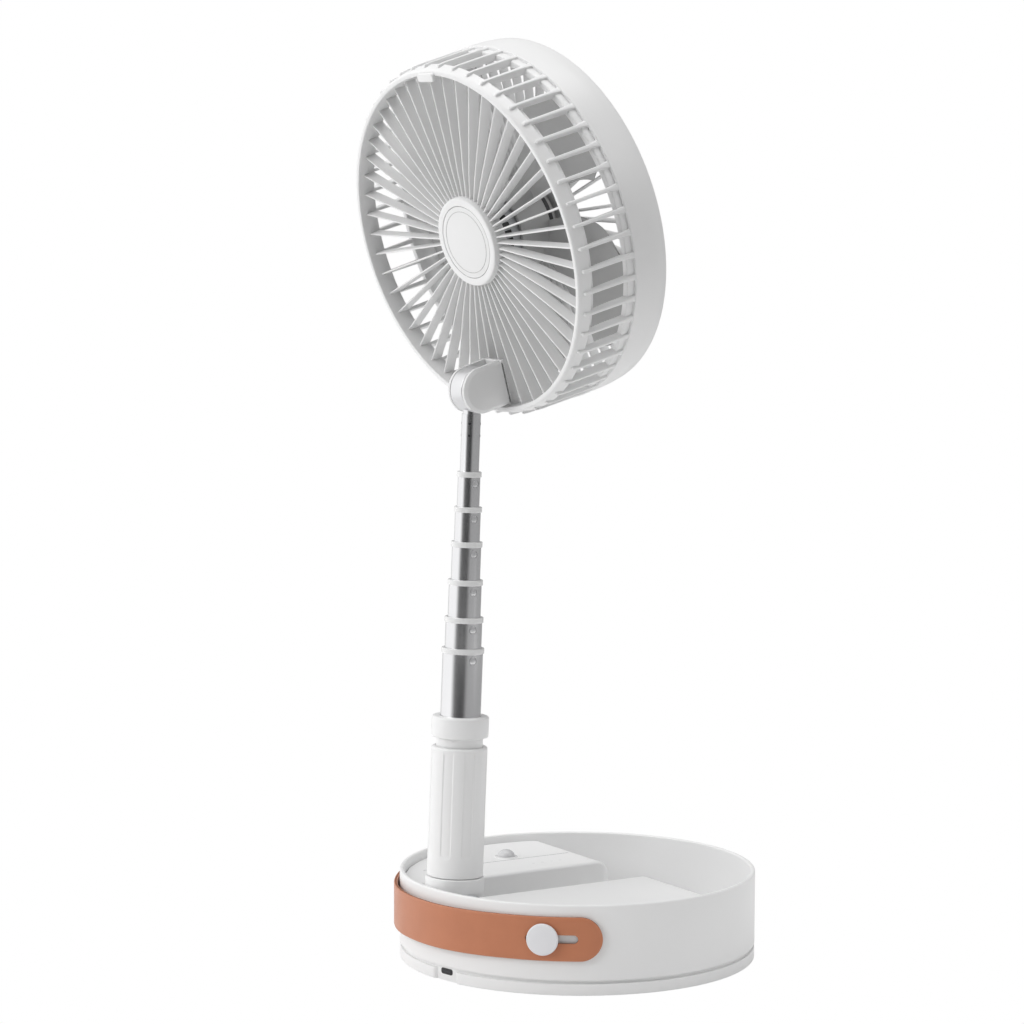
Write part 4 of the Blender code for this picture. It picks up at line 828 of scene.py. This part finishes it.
def makeRotor():
    # blade: angle = start + chord(out) * across + sweep * out^2; its height falls across the chord
    # and it is thin at its edges
    end = rotor["start"] + rotor["length"]
    skirt = rotor["start"] - rotor["skirt"]
    # the hub and blades take the mid grey with painted shade for the shadow inside the guard
    turnedPiece("rotorHub", [(1.7, end), (rotor["hub"], end), (rotor["hub"], skirt), (22.0, skirt),
                             (22.0, end - 2.0),
                             (1.7, end - 2.0)], [0, 2.4, 0.6, 0.4, 1.0, 0], headAxis, "rotor", shadeDarkenedGrey,
                "white_plastic", 96, replaces=["fan_rotor"])
    # painted shade: a dark band where the gap between the rotor hub and the front hub falls into shadow
    turnedPiece("rotorGapShade", [(23.4, end - 5.4), (24.08, end - 5.4), (24.08, end - 2.8), (23.4, end - 2.8)],
                [0, 0.15, 0.15, 0], headAxis, "rotor", darkPlastic, "dark_plastic", 96)
    spans, chords = 26, 16
    out, across = np.meshgrid(np.linspace(0, 1, spans), np.linspace(-0.5, 0.5, chords), indexing="ij")
    radius = rotor["hub"] - 1.0 + (rotor["tip"] - rotor["hub"] + 1.0) * out
    tipRound = 1 - 0.10 * np.clip((np.abs(across) - 0.3) / 0.2, 0, 1) ** 2 * np.clip((out - 0.7) / 0.3, 0, 1)
    width = math.radians(rotor["chord"]) * (1 + 0.25 * np.sin(math.pi * out)) * (1 - 0.12 * out)
    angle = width * across + math.radians(rotor["sweep"]) * out ** 2
    middle = end - 2.0 - rotor["rise"] / 2 * 0.62 - rotor["rise"] * (0.62 + 0.38 * out) * across * 0.30
    middle = middle + 1.6 * (0.25 - across ** 2) * 4
    half = rotor["thickness"] / 2 * np.sqrt(np.clip(1 - (np.abs(across) * 2) ** 4, 0.02, 1))
    blades = []
    for k in range(rotor["blades"]):
        turn = angle + fullTurn * k / rotor["blades"]
        skins = [np.stack([radius * tipRound * np.cos(turn), radius * tipRound * np.sin(turn),
                           middle + sign * half], -1)
                 for sign in (1, -1)]
        blades.append(twoSkins(skins[0], skins[1], np.ones((spans - 1, chords - 1), bool)))
    addPiece("rotorBlades", *mergeParts(blades), headAxis, "rotor", shadeDarkenedGrey, "white_plastic", sharp=60)


makeRearCage()
makeShroud()
makeFrontGrille()
makeMotor()
makeRotor()
print("head made")


studio = {"floor": (0.90, 0.90, 0.90), "reach": 0.7, "cameraTurn": 31.5, "cameraTilt": 6.125,
          "rightLevel": 0.42,
          "leftLevel": 1.25, "darkTurn": 15.0, "darkFrom": 0.66, "darkTo": 0.93, "darkLevel": 0.12}


def areaLight(name, place, target, size, power):
    lamp = bpy.data.lights.new(name, "AREA")
    lamp.shape, lamp.size, lamp.size_y, lamp.energy = "RECTANGLE", size[0], size[1], power
    item = bpy.data.objects.new(name, lamp)
    bpy.context.scene.collection.objects.link(item)
    way = np.array(target, float) - np.array(place, float)
    item.matrix_world = cameraMatrix(place, way, 0.0)


def cameraMatrix(place, way, roll):
    axisZ = -unit(way)
    axisX = unit(np.cross((0, 0, 1), axisZ))
    axisY = np.cross(axisZ, axisX)
    turned = Matrix(np.column_stack([axisX, axisY, axisZ]).tolist()).to_4x4()
    return Matrix.Translation(place) @ turned @ Matrix.Rotation(math.radians(roll), 4, "Z")


def makeSky(scene):
    # a bright side on the left, a dark room behind the camera, and plain white where the camera looks
    sky = bpy.data.worlds.new("studio")
    scene.world = sky
    sky.use_nodes = True
    nodes, links = sky.node_tree.nodes, sky.node_tree.links
    direction = nodes.new("ShaderNodeTexCoord").outputs["Generated"]
    turn = math.radians(studio["cameraTurn"])

    def lobe(towards, start, end, low, high):
        along = nodes.new("ShaderNodeVectorMath")
        along.operation = "DOT_PRODUCT"
        along.inputs[1].default_value = towards
        links.new(direction, along.inputs[0])
        step = nodes.new("ShaderNodeMapRange")
        step.interpolation_type = "SMOOTHSTEP"
        for title, value in (("From Min", start), ("From Max", end), ("To Min", low), ("To Max", high)):
            step.inputs[title].default_value = value
        links.new(along.outputs["Value"], step.inputs["Value"])
        return step.outputs["Result"]

    left = lobe((-math.cos(turn), math.sin(turn), 0), 0.05, 0.85, studio["rightLevel"], studio["leftLevel"])
    back = turn + math.radians(studio["darkTurn"])
    dark = lobe((-math.sin(back), -math.cos(back), 0), studio["darkFrom"], studio["darkTo"], 1.0,
                studio["darkLevel"])
    level = nodes.new("ShaderNodeMath")
    level.operation = "MULTIPLY"
    links.new(left, level.inputs[0])
    links.new(dark, level.inputs[1])
    plain = nodes["Background"]
    plain.inputs["Color"].default_value = (1, 1, 1, 1)
    links.new(level.outputs[0], plain.inputs["Strength"])
    white = nodes.new("ShaderNodeBackground")
    white.inputs["Color"].default_value = (1, 1, 1, 1)
    rays = nodes.new("ShaderNodeLightPath")
    mix = nodes.new("ShaderNodeMixShader")
    links.new(rays.outputs["Is Camera Ray"], mix.inputs["Fac"])
    links.new(plain.outputs[0], mix.inputs[1])
    links.new(white.outputs[0], mix.inputs[2])
    links.new(mix.outputs[0], nodes["World Output"].inputs["Surface"])


def makeStudio():
    scene = bpy.context.scene
    scene.view_settings.view_transform = "Standard"
    turn, lift = math.radians(studio["cameraTurn"]), math.radians(studio["cameraTilt"])
    camera = bpy.data.objects.new("camera", bpy.data.cameras.new("camera"))
    scene.collection.objects.link(camera)
    camera.data.sensor_width, camera.data.lens = 36.0, 121.15
    camera.data.clip_end = 20.0
    way = (math.sin(turn) * math.cos(lift), math.cos(turn) * math.cos(lift), -math.sin(lift))
    camera.matrix_world = cameraMatrix((-1.0295, -1.6085, 0.4559), way, 0.165)
    scene.camera = camera

    floorMesh = bpy.data.meshes.new("floor")
    reach = studio["reach"]
    floorMesh.from_pydata([(-reach, -reach, 0), (reach, -reach, 0), (reach, reach, 0),
                           (-reach, reach, 0)], [],
                          [(0, 1, 2, 3)])
    floor = bpy.data.objects.new("floor", floorMesh)
    scene.collection.objects.link(floor)
    material = bpy.data.materials.new("floor")
    material.use_nodes = True
    nodes, links = material.node_tree.nodes, material.node_tree.links
    nodes["Principled BSDF"].inputs["Base Color"].default_value = (*studio["floor"], 1)
    nodes["Principled BSDF"].inputs["Roughness"].default_value = 0.9
    glow = nodes.new("ShaderNodeEmission")
    rays = nodes.new("ShaderNodeLightPath")
    mix = nodes.new("ShaderNodeMixShader")
    links.new(rays.outputs["Is Camera Ray"], mix.inputs["Fac"])
    links.new(nodes["Principled BSDF"].outputs[0], mix.inputs[1])
    links.new(glow.outputs[0], mix.inputs[2])
    links.new(mix.outputs[0], nodes["Material Output"].inputs["Surface"])
    floorMesh.materials.append(material)

    makeSky(scene)
    areaLight("keyLight", (-3.2, 0.3, 2.0), (0, 0, 0.25), (2.0, 2.0), 36)
    areaLight("topLight", (0.1, 0.1, 4.5), (0, 0, 0.1), (3.0, 3.0), 74)
    areaLight("fillLight", (1.8, -2.4, 2.4), (0, 0, 0.2), (2.0, 2.0), 20)


makeStudio()
